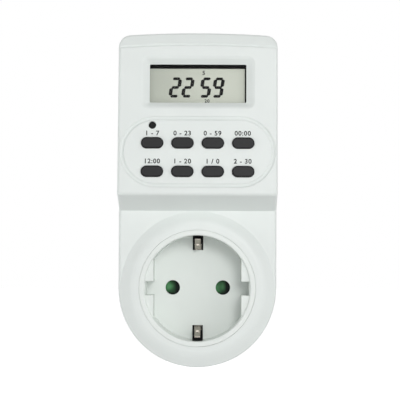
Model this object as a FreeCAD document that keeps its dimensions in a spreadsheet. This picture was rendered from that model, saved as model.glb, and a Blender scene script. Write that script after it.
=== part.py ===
"""Plug-in digital timer with a socket on its front.

The origin lies midway between the two plug pins, on the plug's engagement face.
X is right as seen from the front, Z is up, and +Y runs into the wall socket.
"""
import FreeCAD, Part

import math
import os

import Sketcher

doc = FreeCAD.newDocument("DigitalTimer")

# Driving dimensions, in millimetres and degrees
SIZES = [
    # housing
    ("body_width", "58.3", "width of the housing and of its round lower end"),
    ("brow_height", "4.25", "brow between the crease and the top edge"),
    ("arch_height", "1.1", "rise of the arched top edge"),
    ("corner_radius", "4.5", "upper corners seen from the front"),
    ("wall", "2.2", "wall of both shells"),
    ("split_height", "13", "parting plane in front of the wall"),
    ("step_out", "11.5", "control face's lower edge in front of the base"),
    ("step_gap", "0.24", "flat between the raised ring and the step"),
    ("step_lean", "25.8", "lean of the step below the control face"),
    ("face_tilt", "4.7", "lean of the control face"),
    ("edge_radius", "1.0", "rounding of the front's outer edges"),
    ("step_radius", "1.3", "rounding of the control face's lower edge"),
    ("crease_gap", "4.95", "face between the display's slopes and the crease"),
    ("crease_bow", "1.0", "rise of the arched crease"),
    ("brow_tilt", "15", "lean of the brow above the crease"),
    ("crease_width", "1.2", "width of the crease groove"),
    ("crease_depth", "0.25", "depth of the crease groove"),
    ("rear_edge_radius", "1.5", "rounding of the rear cover's edge"),
    ("parting_bevel", "0.25", "bevel of both shells at the parting line"),
    ("lip_height", "1.8", "lip of the rear cover inside the front"),
    ("fit_gap", "0.1", "gap between pieces that slip together"),
    ("label_width", "36", "bare recess on the rear cover"),
    ("label_height", "22", "bare recess on the rear cover"),
    ("label_up", "54", "bare recess above the pins"),
    ("label_depth", "0.3", "depth of the bare recess"),
    ("label_corner", "1.5", "corners of the bare recess"),
    # socket insert
    ("boss_proud", "2.0", "raised ring around the socket in front of the base"),
    ("boss_flat", "3.1", "flat of the raised ring outside the insert"),
    ("boss_margin", "0.8", "base outside the foot of the raised ring"),
    ("boss_round", "5.0", "rounding of the raised ring's outer edge"),
    ("ring_proud", "0.2", "insert's rim in front of the raised ring"),
    ("recess_radius", "19.5", "inside of the socket recess"),
    ("ring_wall", "2.0", "wall of the socket recess"),
    ("recess_depth", "17.5", "depth of the socket recess"),
    ("floor_thickness", "2.5", "floor of the socket recess"),
    ("shelf_half", "16.3", "side flats of the recess from the centre"),
    ("shelf_drop", "1.3", "side shelves below the rim"),
    ("keyway_width", "5.2", "notch in each side flat"),
    ("keyway_inset", "0.3", "end of that notch inside the recess wall"),
    ("flange_reach", "1.8", "flange that holds the insert"),
    ("flange_thickness", "1.6", "thickness of the insert's flange"),
    ("rim_radius", "0.5", "rounding of the insert's rim towards the recess"),
    ("rim_side_radius", "0.25", "rounding of the insert's rim towards the raised ring"),
    ("pin_hole_radius", "2.75", "holes for the plug that goes in"),
    ("window_width", "4.0", "openings for the earth springs"),
    ("window_end_gap", "0.7", "opening beyond the bow of an earth spring"),
    ("window_top_gap", "2.0", "rim left above those openings"),
    ("support_radius", "1.8", "posts that hold the socket insert"),
    ("support_place", "14.0", "those posts from the centre both ways"),
    # plug
    ("plug_depth", "17.5", "length of the plug body behind the cover"),
    ("plug_radius", "18.6", "plug body"),
    ("plug_wall", "2.1", "wall of the plug body"),
    ("plug_face", "3.0", "engagement face of the plug body"),
    ("plug_flat", "15.9", "side flats of the plug from the centre"),
    ("rib_width", "4.5", "rib on each side flat"),
    ("pin_spacing", "19", "plug pins and socket holes, centre to centre"),
    ("pin_radius", "2.4", "plug pins"),
    ("pin_length", "19", "plug pins in front of the engagement face"),
    ("pin_tip_radius", "2.0", "rounded end of a plug pin"),
    ("pin_neck", "0.35", "step from a plug pin to its neck in the face"),
    ("pin_head_radius", "3.1", "head of a plug pin inside the plug"),
    ("pin_head_height", "1.2", "thickness of that head"),
    ("earth_groove_width", "5.2", "groove for a side earth contact"),
    ("earth_groove_floor", "15.6", "bottom of that groove from the centre"),
    # contacts
    ("strip", "0.6", "thickness of the spring brass"),
    ("clip_gap", "5.0", "space between the leaves of a contact clip"),
    ("clip_width", "5.0", "width of a contact clip"),
    ("clip_leg_width", "3.0", "leg of a contact clip"),
    ("clip_clearance", "0.7", "contact clips behind the shutter's retainer"),
    ("pin_tip_room", "0.5", "room behind the tip of a plug pin that goes in"),
    ("terminal_width", "4.4", "plate between a plug pin and its lead"),
    ("terminal_reach", "4.2", "lead on that plate from the pin's axis"),
    ("earth_strip_width", "2.1", "earth spring"),
    ("earth_contact_width", "4.6", "side earth contact"),
    ("earth_contact_thickness", "0.8", "side earth contact"),
    ("earth_tongue_width", "2.6", "tongue of a side earth contact under the earth bracket"),
    ("earth_foot", "2.6", "foot of a side earth contact beyond its rivet"),
    ("earth_bow_inset", "4.6", "bow of an earth spring inside the recess wall"),
    ("earth_bow_height", "5.5", "that bow in front of the recess floor"),
    ("earth_tip_inset", "1.3", "tip of an earth spring inside the recess wall"),
    ("earth_tip_height", "10", "that tip in front of the recess floor"),
    ("earth_root_inset", "1.8", "root of an earth spring inside the recess wall"),
    ("earth_root_height", "1.0", "straight root in front of the recess floor"),
    ("earth_slot_width", "1.1", "slot in each earth spring"),
    ("earth_slot_height", "0.8", "slot in each earth spring"),
    ("rivet_radius", "0.9", "earth rivets"),
    ("rivet_head_radius", "1.25", "heads of the earth rivets"),
    ("rivet_head_height", "0.5", "heads of the earth rivets"),
    ("rivet_place", "12.5", "earth rivets from the centre"),
    ("carrier_room", "0.9", "contact carrier in front of the pins' plates"),
    ("crossbar_thickness", "1.0", "bar of the contact carrier under the earth bracket"),
    ("crossbar_edge", "1.8", "bar of the contact carrier beside the earth contacts"),
    # shutter
    ("shutter_thickness", "1.5", "socket shutter"),
    ("shutter_gap", "0.2", "play of the shutter"),
    ("shutter_play", "0.35", "room round the shutter's swept area"),
    ("lobe_radius", "3.2", "each leaf of the shutter"),
    ("ramp_inset", "0.4", "ramp of a leaf inside the pin's axis"),
    ("ramp_depth", "0.6", "ramp of a leaf"),
    ("hub_radius", "3.6", "hub of the shutter"),
    ("pivot_radius", "1.5", "pivot post of the shutter"),
    ("pivot_clearance", "0.06", "running clearance of the shutter on its post"),
    ("retainer_room", "1.9", "retainer in front of the earth bracket"),
    ("retainer_thickness", "1.4", "plate behind the shutter"),
    ("retainer_half_length", "16", "plate behind the shutter, half its width"),
    ("retainer_half_height", "10", "plate behind the shutter, half its height"),
    ("retainer_corner", "2.0", "corners of the plate behind the shutter"),
    ("retainer_post_radius", "1.7", "posts that carry the retainer"),
    ("retainer_screw_side", "5.6", "retainer screws from the centre line"),
    ("retainer_screw_radius", "0.8", "retainer screws"),
    ("retainer_screw_length", "3.2", "hole of a retainer screw"),
    ("spring_wire", "0.25", "radius of the shutter spring's wire"),
    ("spring_post_radius", "1.0", "post inside the shutter spring"),
    ("spring_post_side", "14.0", "post of the shutter spring left of the centre"),
    ("spring_post_up", "8.2", "post of the shutter spring above the centre"),
    ("spring_leg", "3.6", "stop of the shutter spring above its post"),
    ("spring_touch", "0.15", "leg of the shutter spring from the shutter"),
    ("spring_stop_radius", "0.6", "stop of the shutter spring"),
    # display
    ("bezel_gap", "3.3", "face between the keys' oval and the display's slopes"),
    ("bezel_inset", "8.75", "sloped frame of the display from the housing's sides"),
    ("bezel_height", "18.5", "sloped frame of the display, outside"),
    ("bezel_depth", "1.7", "depth of the slopes"),
    ("bezel_corner", "2.0", "corners of the sloped frame"),
    ("slope_width", "2.7", "slopes beside the display opening"),
    ("bezel_bevel", "0.45", "bevel where the slopes meet the face, to each side of the edge"),
    ("view_height", "14.25", "display opening"),
    ("view_drop", "0.15", "display opening below the middle of its slopes"),
    ("view_corner", "0.4", "corners of the display opening"),
    ("pane_thickness", "1.0", "clear pane behind the opening"),
    ("pane_overlap", "1.6", "clear pane beyond the opening"),
    ("mask_thickness", "0.5", "front of the black display holder"),
    ("mask_top", "1.2", "black edge seen above the display"),
    ("mask_side", "0.5", "black edge seen at the display's right"),
    ("mask_hidden", "0.5", "display holder's opening beyond the view"),
    ("panel_thickness", "2.0", "liquid crystal panel"),
    ("panel_border", "2.4", "liquid crystal panel beyond the opening's sides"),
    ("panel_margin", "1.6", "liquid crystal panel beyond the opening's top"),
    ("panel_ledge", "2.2", "contact ledge along the panel's lower edge"),
    ("holder_wall", "1.1", "sides of the black display holder"),
    ("connector_inset", "1.2", "ends of the connector from the panel's sides"),
    # keys
    ("groove_gap", "2.5", "face between the step and the keys' oval"),
    ("groove_inset", "0.7", "oval groove round the keys from the housing's sides"),
    ("groove_height", "26.3", "oval groove round the keys, outside"),
    ("groove_width", "1.6", "oval groove"),
    ("groove_depth", "0.45", "oval groove"),
    ("key_space", "3.06", "between neighbouring keys of a row"),
    ("key_width", "4.0", "key seen from the front"),
    ("key_gap", "0.15", "gap round a key"),
    ("key_proud", "0.9", "key in front of the face"),
    ("key_rounding", "0.45", "rounded edge of a key"),
    ("key_travel", "0.8", "stroke of a key"),
    ("key_flange", "0.8", "flange of a key beyond its stem"),
    ("key_flange_thickness", "1.2", "flange of a key"),
    ("key_post_radius", "1.7", "contact post under a key"),
    ("key_inset", "12.56", "middle of the outer keys from the housing's sides"),
    ("row_spacing", "10.46", "between the two rows"),
    ("rows_drop", "1.97", "middle of the rows below the middle of the oval"),
    ("reset_radius", "1.25", "clear button"),
    ("reset_gap", "0.15", "gap round the clear button"),
    ("reset_post_step", "0.15", "post of the clear button inside its stem"),
    ("reset_sunk", "0.5", "clear button below the face"),
    ("reset_lift", "6.55", "clear button above the upper row"),
    ("reset_inset", "0.05", "clear button inside the first column"),
    ("mat_inset", "0.6", "rubber mat inside the middle of the board's bosses"),
    ("mat_margin_low", "3.4", "rubber mat beyond the lower keys' flanges"),
    ("mat_margin_high", "1.45", "rubber mat beyond the clear button's flange"),
    ("mat_thickness", "1.4", "sheet of the mat"),
    ("mat_rim", "0.9", "rim of the mat"),
    ("collar_wall", "0.9", "collar of the mat round a key's post"),
    # circuit boards
    ("board_depth", "7.0", "control board behind the face"),
    ("board_thickness", "1.2", "control board"),
    ("board_inset", "3.8", "control board from the housing's sides"),
    ("board_margin", "0.8", "control board beyond the mat"),
    ("board_boss_radius", "1.9", "bosses under the control board"),
    ("board_boss_inset", "2.0", "those bosses from the board's sides"),
    ("board_boss_end", "3.0", "lower bosses from the board's end"),
    ("board_boss_gap", "4.4", "upper bosses beyond the mat"),
    ("small_screw_radius", "1.0", "board screws"),
    ("small_screw_head", "2.0", "head of a board screw"),
    ("small_screw_height", "1.2", "head of a board screw"),
    ("small_screw_length", "4.5", "board screws under the head"),
    ("power_thickness", "1.6", "power board"),
    ("power_inset", "4.0", "power board from the housing's sides"),
    ("power_gap", "3.4", "power board beyond the lower screw wells"),
    ("power_post_edge", "3.6", "posts of the power board from its sides"),
    ("power_post_inset", "4.2", "posts of the power board from its ends"),
    ("power_post_radius", "2.4", "posts of the power board"),
    # components
    ("blob_radius", "5.5", "resin blob over the processor"),
    ("blob_height", "1.5", "resin blob over the processor"),
    ("blob_side", "2.0", "resin blob right of the centre line"),
    ("blob_up", "19", "resin blob from the board's lower end"),
    ("crystal_radius", "1.05", "quartz crystal"),
    ("crystal_length", "6.2", "quartz crystal"),
    ("crystal_gap", "4.5", "quartz crystal beside the blob"),
    ("crystal_lift", "2.0", "quartz crystal above the blob's middle"),
    ("battery_radius", "6.2", "backup battery"),
    ("battery_height", "5.4", "backup battery"),
    ("battery_inset", "12.2", "backup battery's middle from the board's left side"),
    ("battery_gap", "1.2", "backup battery from the board's upper end"),
    ("relay_width", "12.7", "relay"),
    ("relay_length", "29", "relay"),
    ("relay_height", "15.7", "relay"),
    ("relay_gap", "1.1", "between the relay and the control board"),
    ("relay_side", "3.8", "relay left of the centre line"),
    ("relay_room", "0.65", "between the relay's upper end and the backup battery"),
    ("capacitor_room", "5.8", "between the relay and the mains capacitor"),
    ("capacitor_length", "8.5", "mains capacitor"),
    ("capacitor_height", "14.5", "mains capacitor"),
    ("capacitor_inset", "5.0", "mains capacitor from the power board's right side"),
    ("capacitor_start", "12.5", "mains capacitor from the power board's lower end"),
    ("resistor_length", "11", "power resistor"),
    ("resistor_size", "3.2", "width and height of the power resistor"),
    ("resistor_gap", "5.8", "between the power resistor and the mains capacitor"),
    ("resistor_room", "0.8", "power resistor right of the relay"),
    ("large_can_radius", "5.0", "larger smoothing capacitor"),
    ("large_can_height", "13", "larger smoothing capacitor"),
    ("small_can_radius", "3.2", "smaller smoothing capacitor"),
    ("small_can_height", "11", "smaller smoothing capacitor"),
    ("can_gap", "5.5", "larger smoothing capacitor beyond the mains capacitor"),
    ("can_inset", "9.6", "larger smoothing capacitor's middle from the board's side"),
    ("small_can_room", "5.1", "between the relay and the smaller smoothing capacitor"),
    ("can_step", "3.0", "smaller smoothing capacitor above the larger one"),
    ("varistor_radius", "4.6", "varistor"),
    ("varistor_thickness", "3.6", "varistor"),
    ("varistor_inset", "9.0", "varistor's middle from the board's right side"),
    ("varistor_gap", "2.7", "between the varistor and the mains capacitor"),
    ("diode_length", "5.0", "rectifier diode"),
    ("diode_size", "2.4", "width and height of a rectifier diode"),
    ("diode_spacing", "3.0", "from one rectifier diode to the next"),
    ("diode_gap", "4.5", "rectifier diodes beyond the mains capacitor"),
    ("diode_room", "2.6", "first diode right of the relay"),
    ("link_spacing", "2.54", "pins of the board link"),
    ("link_pin", "0.64", "pin of the board link"),
    ("link_strip", "2.5", "width and height of the link's plastic strip"),
    ("link_side", "4.0", "first pin right of the centre line"),
    ("link_gap", "4.7", "board link beyond the larger smoothing capacitor"),
    ("lead_radius", "0.9", "insulated leads"),
    ("lead_bend", "2.5", "bends of the leads"),
    ("lead_gap", "0.9", "leads behind the shutter's retainer"),
    ("lead_end", "4.0", "leads from the power board's lower end"),
    ("switched_start", "3.0", "soldered end of the switched lead behind the wall plane"),
    # housing screws
    ("screw_radius", "1.5", "housing screws"),
    ("screw_head_radius", "2.5", "head of a housing screw"),
    ("screw_head_height", "2.0", "head of a housing screw"),
    ("screw_head_depth", "9.0", "shoulder of a screw well"),
    ("screw_length", "12.5", "housing screws under the head"),
    ("screw_slot", "0.9", "cross in a screw's head: width, depth and margin"),
    ("screw_boss_radius", "2.9", "screw bosses of the front shell"),
    ("screw_well_wall", "1.0", "wall of a screw well"),
    ("top_screw_inset", "5.4", "upper screws from the housing's sides"),
    ("top_screw_gap", "0.35", "between the upper screw bosses and the control board"),
    ("low_screw_inset", "5.3", "lower screws from the housing's sides"),
    ("low_screw_drop", "4.0", "lower screws below the foot of the step"),
]

sheet = doc.addObject("Spreadsheet::Sheet", "Sizes")
for row, (alias, number, meaning) in enumerate(SIZES, 1):
    sheet.set(f"A{row}", meaning)
    sheet.set(f"B{row}", number)
    sheet.setAlias(f"B{row}", alias)
doc.recompute()


class Size:
    """A length or angle that knows its value and its expression on the sheet."""

    def __init__(self, value, text):
        self.value = value
        self.text = text

    def joined(self, sign, other, value):
        return Size(value, f"({self.text} {sign} {other.text})")

    def __add__(self, other):
        other = as_size(other)
        return self.joined("+", other, self.value + other.value)

    def __sub__(self, other):
        other = as_size(other)
        return self.joined("-", other, self.value - other.value)

    def __mul__(self, other):
        other = as_size(other)
        return self.joined("*", other, self.value * other.value)

    def __truediv__(self, other):
        other = as_size(other)
        return self.joined("/", other, self.value / other.value)

    def __neg__(self):
        return Size(-self.value, f"(-1 * {self.text})")


def as_size(number):
    return number if isinstance(number, Size) else Size(float(number), repr(float(number)))


def sine(angle):
    return Size(math.sin(math.radians(angle.value)), f"sin({angle.text})")


def cosine(angle):
    return Size(math.cos(math.radians(angle.value)), f"cos({angle.text})")


def tangent(angle):
    return Size(math.tan(math.radians(angle.value)), f"tan({angle.text})")


class SizeSheet:
    """Every size of the sheet under its own name."""

    def __init__(self):
        for alias, number, meaning in SIZES:
            setattr(self, alias, Size(float(number), f"Sizes.{alias}"))


s = SizeSheet()
ZERO = as_size(0)
OVERLAP = as_size(0.5)
CLEAR_OF_ALL = as_size(5)
# Start of a cut just in front of a face, so that no skin is left
JUST_PROUD = as_size(0.005)
# Part turn in degrees that covers the whole width about a far axis
FAR_TURN = 30

# Sizes that follow from the driving ones, from the wall to the front
half_width = s.body_width / 2
pin_side = s.pin_spacing / 2
crossbar_top = s.wall + s.crossbar_thickness
retainer_back = crossbar_top + s.strip + s.retainer_room
retainer_front = retainer_back + s.retainer_thickness
shutter_back = retainer_front + s.shutter_gap
floor_back = shutter_back + s.shutter_thickness + s.shutter_gap
recess_floor = floor_back + s.floor_thickness
boss_height = recess_floor + s.recess_depth
rim_height = boss_height + s.ring_proud
base_height = boss_height - s.boss_proud
step_height = base_height + s.step_out
clip_top = retainer_back - s.clip_clearance
clip_floor = recess_floor - s.pin_length - s.pin_tip_room
lead_height = retainer_back - s.lead_gap - s.lead_radius
plug_inside = -s.plug_depth + s.plug_face
plate_bottom = plug_inside + s.pin_head_height
neck_radius = s.pin_radius - s.pin_neck

# Round the socket
ring_radius = s.recess_radius + s.ring_wall
flange_radius = ring_radius + s.flange_reach
boss_radius = ring_radius + s.boss_flat
boss_foot_radius = half_width - s.boss_margin
contact_foot = s.earth_groove_floor + s.earth_contact_thickness
earth_bow = s.recess_radius - s.earth_bow_inset
earth_tip = s.recess_radius - s.earth_tip_inset
earth_root = s.recess_radius - s.earth_root_inset
window_inner = earth_bow - s.window_end_gap
switched_side = -pin_side + s.clip_gap / 2 + s.strip + s.lead_radius + s.fit_gap / 2

# Up the control face
step_foot_up = boss_foot_radius + s.step_gap
step_up = step_foot_up + s.step_out * tangent(s.step_lean)
groove_length = s.body_width - s.groove_inset * 2
groove_up = s.groove_gap + s.groove_height / 2
rows_middle = groove_up - s.rows_drop
lower_row = rows_middle - s.row_spacing / 2
upper_row = rows_middle + s.row_spacing / 2
reset_up = upper_row + s.reset_lift
key_spacing = (half_width - s.key_inset) / 1.5
key_length = key_spacing - s.key_space
key_columns = [key_spacing * place for place in (-1.5, -0.5, 0.5, 1.5)]
reset_side = -key_columns[0] - s.reset_inset
bezel_up = groove_up + s.groove_height / 2 + s.bezel_gap + s.bezel_height / 2
bezel_width = s.body_width - s.bezel_inset * 2
view_width = bezel_width - s.slope_width * 2
view_up = bezel_up - s.view_drop
panel_half = view_width / 2 + s.panel_border
panel_high = view_up + s.view_height / 2 + s.panel_margin
panel_low = view_up - s.view_height / 2 - s.panel_margin
holder_margin = s.fit_gap + s.holder_wall
holder_low = panel_low - holder_margin
holder_high = panel_high + holder_margin
crease_along = bezel_up + s.bezel_height / 2 + s.crease_gap
crease_up = step_up + crease_along * cosine(s.face_tilt)
body_top = crease_up + s.brow_height
shoulder_up = body_top - s.arch_height

# Control board and its mat
mat_low = lower_row - s.key_width / 2 - s.key_flange - s.mat_margin_low
mat_high = reset_up + s.reset_radius + s.key_flange + s.mat_margin_high
board_half = half_width - s.board_inset
board_low = mat_low - s.board_margin
board_high = holder_high
board_boss_side = board_half - s.board_boss_inset
mat_half = board_boss_side - s.mat_inset
board_boss_low = board_low + s.board_boss_end
board_boss_high = mat_high + s.board_boss_gap
board_front = -s.board_depth
board_back = board_front - s.board_thickness
pane_back = -s.wall - s.pane_thickness

# Screws and the power board
well_radius = s.screw_head_radius + s.fit_gap * 2 + s.screw_well_wall
board_top_up = step_up + board_high * cosine(s.face_tilt) + board_front * sine(s.face_tilt)
top_screw_up = board_top_up + s.top_screw_gap + s.screw_boss_radius
low_screw_up = step_foot_up - s.low_screw_drop
power_half = half_width - s.power_inset
power_post_place = power_half - s.power_post_edge
power_low = low_screw_up + well_radius + s.power_gap
power_high = top_screw_up - well_radius - s.fit_gap
battery_up = board_high - s.battery_gap - s.battery_radius
battery_low = (battery_up - s.battery_radius) * cosine(s.face_tilt)
battery_drop = (s.battery_height - board_back) * sine(s.face_tilt)
relay_high = step_up + battery_low - battery_drop - s.relay_room
over_relay = (relay_high - step_up) * tangent(s.face_tilt) - board_back / cosine(s.face_tilt)
power_front = step_height - over_relay - s.relay_gap - s.relay_height
power_back = power_front - s.power_thickness


class Frame:
    """A view of the timer with x to the right, y up and z towards the user."""

    def __init__(self, up, out, tilt):
        self.up = up
        self.out = out
        self.tilt = tilt

    def spot(self, x, y, z):
        start = -s.plug_depth - self.out
        if self.tilt is None:
            return x, start - z, self.up + y
        depth = start + y * sine(self.tilt) - z * cosine(self.tilt)
        height = self.up + y * cosine(self.tilt) + z * sine(self.tilt)
        return x, depth, height

    def angle(self):
        return as_size(90) if self.tilt is None else as_size(90) - self.tilt


WALL = Frame(ZERO, ZERO, None)
FACE = Frame(step_up, step_height, s.face_tilt)


def place(thing, frame, x=ZERO, y=ZERO, z=ZERO):
    spot = frame.spot(as_size(x), as_size(y), as_size(z))
    angle = frame.angle()
    turn = FreeCAD.Rotation(FreeCAD.Vector(1, 0, 0), angle.value)
    thing.Placement = FreeCAD.Placement(FreeCAD.Vector(*[size.value for size in spot]), turn)
    for axis, size in zip("xyz", spot):
        thing.setExpression(f"Placement.Base.{axis}", size.text)
    thing.setExpression("Placement.Rotation.Angle", angle.text)


# Sketches
def new_body(name, frame=WALL, x=ZERO, y=ZERO, z=ZERO):
    body = doc.addObject("PartDesign::Body", name)
    place(body, frame, x, y, z)
    return body


def new_sketch(body, name, offset=ZERO, role="XY_Plane"):
    sketch = body.newObject("Sketcher::SketchObject", f"{body.Name}_{name}")
    plane = next(item for item in body.Origin.OriginFeatures if item.Role == role)
    sketch.AttachmentSupport = [(plane, "")]
    sketch.MapMode = "FlatFace"
    sketch.setExpression("AttachmentOffset.Base.z", as_size(offset).text)
    return sketch


def hold(sketch, kind, *spots, size):
    """A dimension of a sketch, tied to the sheet."""
    index = sketch.addConstraint(Sketcher.Constraint(kind, *spots, size.value))
    sketch.setExpression(f"Constraints[{index}]", size.text)


def hold_point(sketch, geometry, end, x, y):
    hold(sketch, "DistanceX", -1, 1, geometry, end, size=as_size(x))
    hold(sketch, "DistanceY", -1, 1, geometry, end, size=as_size(y))


def vector(x, y):
    return FreeCAD.Vector(as_size(x).value, as_size(y).value, 0)


def line(sketch, start, end):
    return sketch.addGeometry(Part.LineSegment(vector(*start), vector(*end)), False)


def join(sketch, kind, first, first_end, second, second_end):
    sketch.addConstraint(Sketcher.Constraint(kind, first, first_end, second, second_end))


def arc(sketch, centre, radius, start_deg, end_deg):
    circle_line = Part.Circle(vector(*centre), FreeCAD.Vector(0, 0, 1), as_size(radius).value)
    span = [math.radians(angle) for angle in (start_deg, end_deg)]
    return sketch.addGeometry(Part.ArcOfCircle(circle_line, *span), False)


def polygon(sketch, points):
    count = len(points)
    edges = [line(sketch, points[i], points[(i + 1) % count]) for i in range(count)]
    for i, edge in enumerate(edges):
        join(sketch, "Coincident", edge, 2, edges[(i + 1) % count], 1)
        hold_point(sketch, edge, 1, *points[i])


def rectangle(sketch, x0, x1, y0, y1):
    polygon(sketch, [(x0, y0), (x1, y0), (x1, y1), (x0, y1)])


def circle(sketch, radius, x=ZERO, y=ZERO):
    radius = as_size(radius)
    normal = FreeCAD.Vector(0, 0, 1)
    index = sketch.addGeometry(Part.Circle(vector(x, y), normal, radius.value), False)
    hold_point(sketch, index, 3, x, y)
    hold(sketch, "Radius", index, size=radius)


def stadium(sketch, length, width, x=ZERO, y=ZERO):
    """A slot shape along x, given by its full length and width."""
    x, y, length, width = [as_size(size) for size in (x, y, length, width)]
    radius = width / 2
    reach = length / 2 - radius
    left, right = x - reach, x + reach
    low = line(sketch, (left, y - radius), (right, y - radius))
    end = arc(sketch, (right, y), radius, -90, 90)
    high = line(sketch, (right, y + radius), (left, y + radius))
    start = arc(sketch, (left, y), radius, 90, 270)
    for first, second in ((low, end), (high, start)):
        join(sketch, "Tangent", first, 2, second, 1)
    join(sketch, "Tangent", end, 2, high, 1)
    join(sketch, "Tangent", start, 2, low, 1)
    hold_point(sketch, start, 3, left, y)
    hold_point(sketch, end, 3, right, y)
    hold(sketch, "Radius", start, size=radius)
    sketch.addConstraint(Sketcher.Constraint("Equal", start, end))


def rounded_rectangle(sketch, width, height, radius, x=ZERO, y=ZERO):
    x0, x1 = x - width / 2, x + width / 2
    y0, y1 = y - height / 2, y + height / 2
    sides = [
        line(sketch, (x0 + radius, y0), (x1 - radius, y0)),
        line(sketch, (x1, y0 + radius), (x1, y1 - radius)),
        line(sketch, (x1 - radius, y1), (x0 + radius, y1)),
        line(sketch, (x0, y1 - radius), (x0, y0 + radius)),
    ]
    corners = [
        arc(sketch, (x1 - radius, y0 + radius), radius, -90, 0),
        arc(sketch, (x1 - radius, y1 - radius), radius, 0, 90),
        arc(sketch, (x0 + radius, y1 - radius), radius, 90, 180),
        arc(sketch, (x0 + radius, y0 + radius), radius, 180, 270),
    ]
    for i in range(4):
        join(sketch, "Tangent", sides[i], 2, corners[i], 1)
        join(sketch, "Tangent", corners[i], 2, sides[(i + 1) % 4], 1)
        sketch.addConstraint(Sketcher.Constraint("Vertical" if i % 2 else "Horizontal", sides[i]))
    for corner in corners[1:]:
        sketch.addConstraint(Sketcher.Constraint("Equal", corners[0], corner))
    hold(sketch, "Radius", corners[0], size=radius)
    hold(sketch, "DistanceX", -1, 1, sides[3], 1, size=x0)
    hold(sketch, "DistanceX", -1, 1, sides[1], 1, size=x1)
    hold(sketch, "DistanceY", -1, 1, sides[0], 1, size=y0)
    hold(sketch, "DistanceY", -1, 1, sides[2], 1, size=y1)


def barrel(sketch, radius, half):
    """A circle with its two sides cut flat."""
    bend = math.degrees(math.acos(half.value / radius.value))
    rise = math.sqrt(radius.value**2 - half.value**2)
    right = line(sketch, (half, -rise), (half, rise))
    top = arc(sketch, (ZERO, ZERO), radius, bend, 180 - bend)
    left = line(sketch, (-half, rise), (-half, -rise))
    bottom = arc(sketch, (ZERO, ZERO), radius, 180 + bend, 360 - bend)
    for first, second in ((right, top), (top, left), (left, bottom), (bottom, right)):
        join(sketch, "Coincident", first, 2, second, 1)
    for curve in (top, bottom):
        join(sketch, "Coincident", curve, 3, -1, 1)
    for side, offset in ((right, half), (left, -half)):
        sketch.addConstraint(Sketcher.Constraint("Vertical", side))
        hold(sketch, "DistanceX", -1, 1, side, 1, size=offset)
    hold(sketch, "Radius", top, size=radius)
    sketch.addConstraint(Sketcher.Constraint("Equal", top, bottom))


def front_outline(sketch, inset):
    """The housing seen from the front: round below, arched above."""
    side = half_width - inset
    shoulder = shoulder_up - inset
    top_radius = (side * side + s.arch_height * s.arch_height) / (s.arch_height * 2)
    bend = math.degrees(math.asin(side.value / top_radius.value))
    bottom = arc(sketch, (ZERO, ZERO), side, 180, 360)
    right = line(sketch, (side, ZERO), (side, shoulder))
    arch_centre = (ZERO, shoulder + s.arch_height - top_radius)
    top = arc(sketch, arch_centre, top_radius, 90 - bend, 90 + bend)
    left = line(sketch, (-side, shoulder), (-side, ZERO))
    join(sketch, "Tangent", bottom, 2, right, 1)
    join(sketch, "Tangent", left, 2, bottom, 1)
    join(sketch, "Coincident", right, 2, top, 1)
    join(sketch, "Coincident", top, 2, left, 1)
    join(sketch, "Coincident", bottom, 3, -1, 1)
    hold(sketch, "Radius", bottom, size=side)
    hold(sketch, "Radius", top, size=top_radius)
    for upright, end in ((right, 2), (left, 1)):
        sketch.addConstraint(Sketcher.Constraint("Vertical", upright))
        hold(sketch, "DistanceY", -1, 1, upright, end, size=shoulder)


# Features
def feature(body, kind, sketch, name):
    item = body.newObject(f"PartDesign::{kind}", f"{body.Name}_{name}")
    item.Profile = sketch
    item.Refine = True
    return item


def settle(item, before, grows):
    """Recomputes a feature and makes sure that it added or removed material."""
    doc.recompute()
    change = item.Shape.Volume - before
    if (change > 0) != grows or abs(change) < 1e-6:
        raise ValueError(f"{item.Name} changed nothing: {change}")
    return item


def volume_of(body):
    return body.Shape.Volume if body.Tip else 0.0


def pad(body, sketch, length, name, symmetric=False, reverse=False):
    before = volume_of(body)
    item = feature(body, "Pad", sketch, name)
    item.SideType = "Symmetric" if symmetric else "One side"
    item.Reversed = reverse
    item.setExpression("Length", as_size(length).text)
    return settle(item, before, True)


def pocket(body, sketch, name, length=None, symmetric=False, reverse=False):
    before = volume_of(body)
    item = feature(body, "Pocket", sketch, name)
    item.SideType = "Symmetric" if symmetric else "One side"
    item.Reversed = reverse
    if length is None:
        item.Type = "ThroughAll"
    else:
        item.setExpression("Length", as_size(length).text)
    return settle(item, before, False)


def axis_of(body, role):
    return next(item for item in body.Origin.OriginFeatures if item.Role == role)


def turn_feature(body, kind, sketch, name, axis, angle=360):
    before = volume_of(body)
    item = feature(body, kind, sketch, name)
    item.ReferenceAxis = axis
    item.Angle = angle
    item.Midplane = angle < 360
    return settle(item, before, kind == "Revolution")


def edge_names(shape, test):
    return [f"Edge{i}" for i, edge in enumerate(shape.Edges, 1) if test(edge)]


def fillet(body, radius, name, test, kind="Fillet"):
    """Rounds, or with kind Chamfer bevels, the edges of the body's tip that pass the test."""
    base = body.Tip
    names = edge_names(base.Shape, test)
    if not names:
        raise ValueError(f"{body.Name}_{name} found no edge")
    item = body.newObject(f"PartDesign::{kind}", f"{body.Name}_{name}")
    item.Base = (base, names)
    item.setExpression("Radius" if kind == "Fillet" else "Size", as_size(radius).text)
    doc.recompute()
    return item


def is_upright(edge):
    box = edge.BoundBox
    return box.ZLength > 1e-3 and box.XLength < 1e-4 and box.YLength < 1e-4


def is_level(edge, height):
    box = edge.BoundBox
    level = as_size(height).value
    return abs(box.ZMin - level) < 1e-4 and abs(box.ZMax - level) < 1e-4


def radius_of(edge):
    return edge.Curve.Radius if isinstance(edge.Curve, Part.Circle) else None


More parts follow.
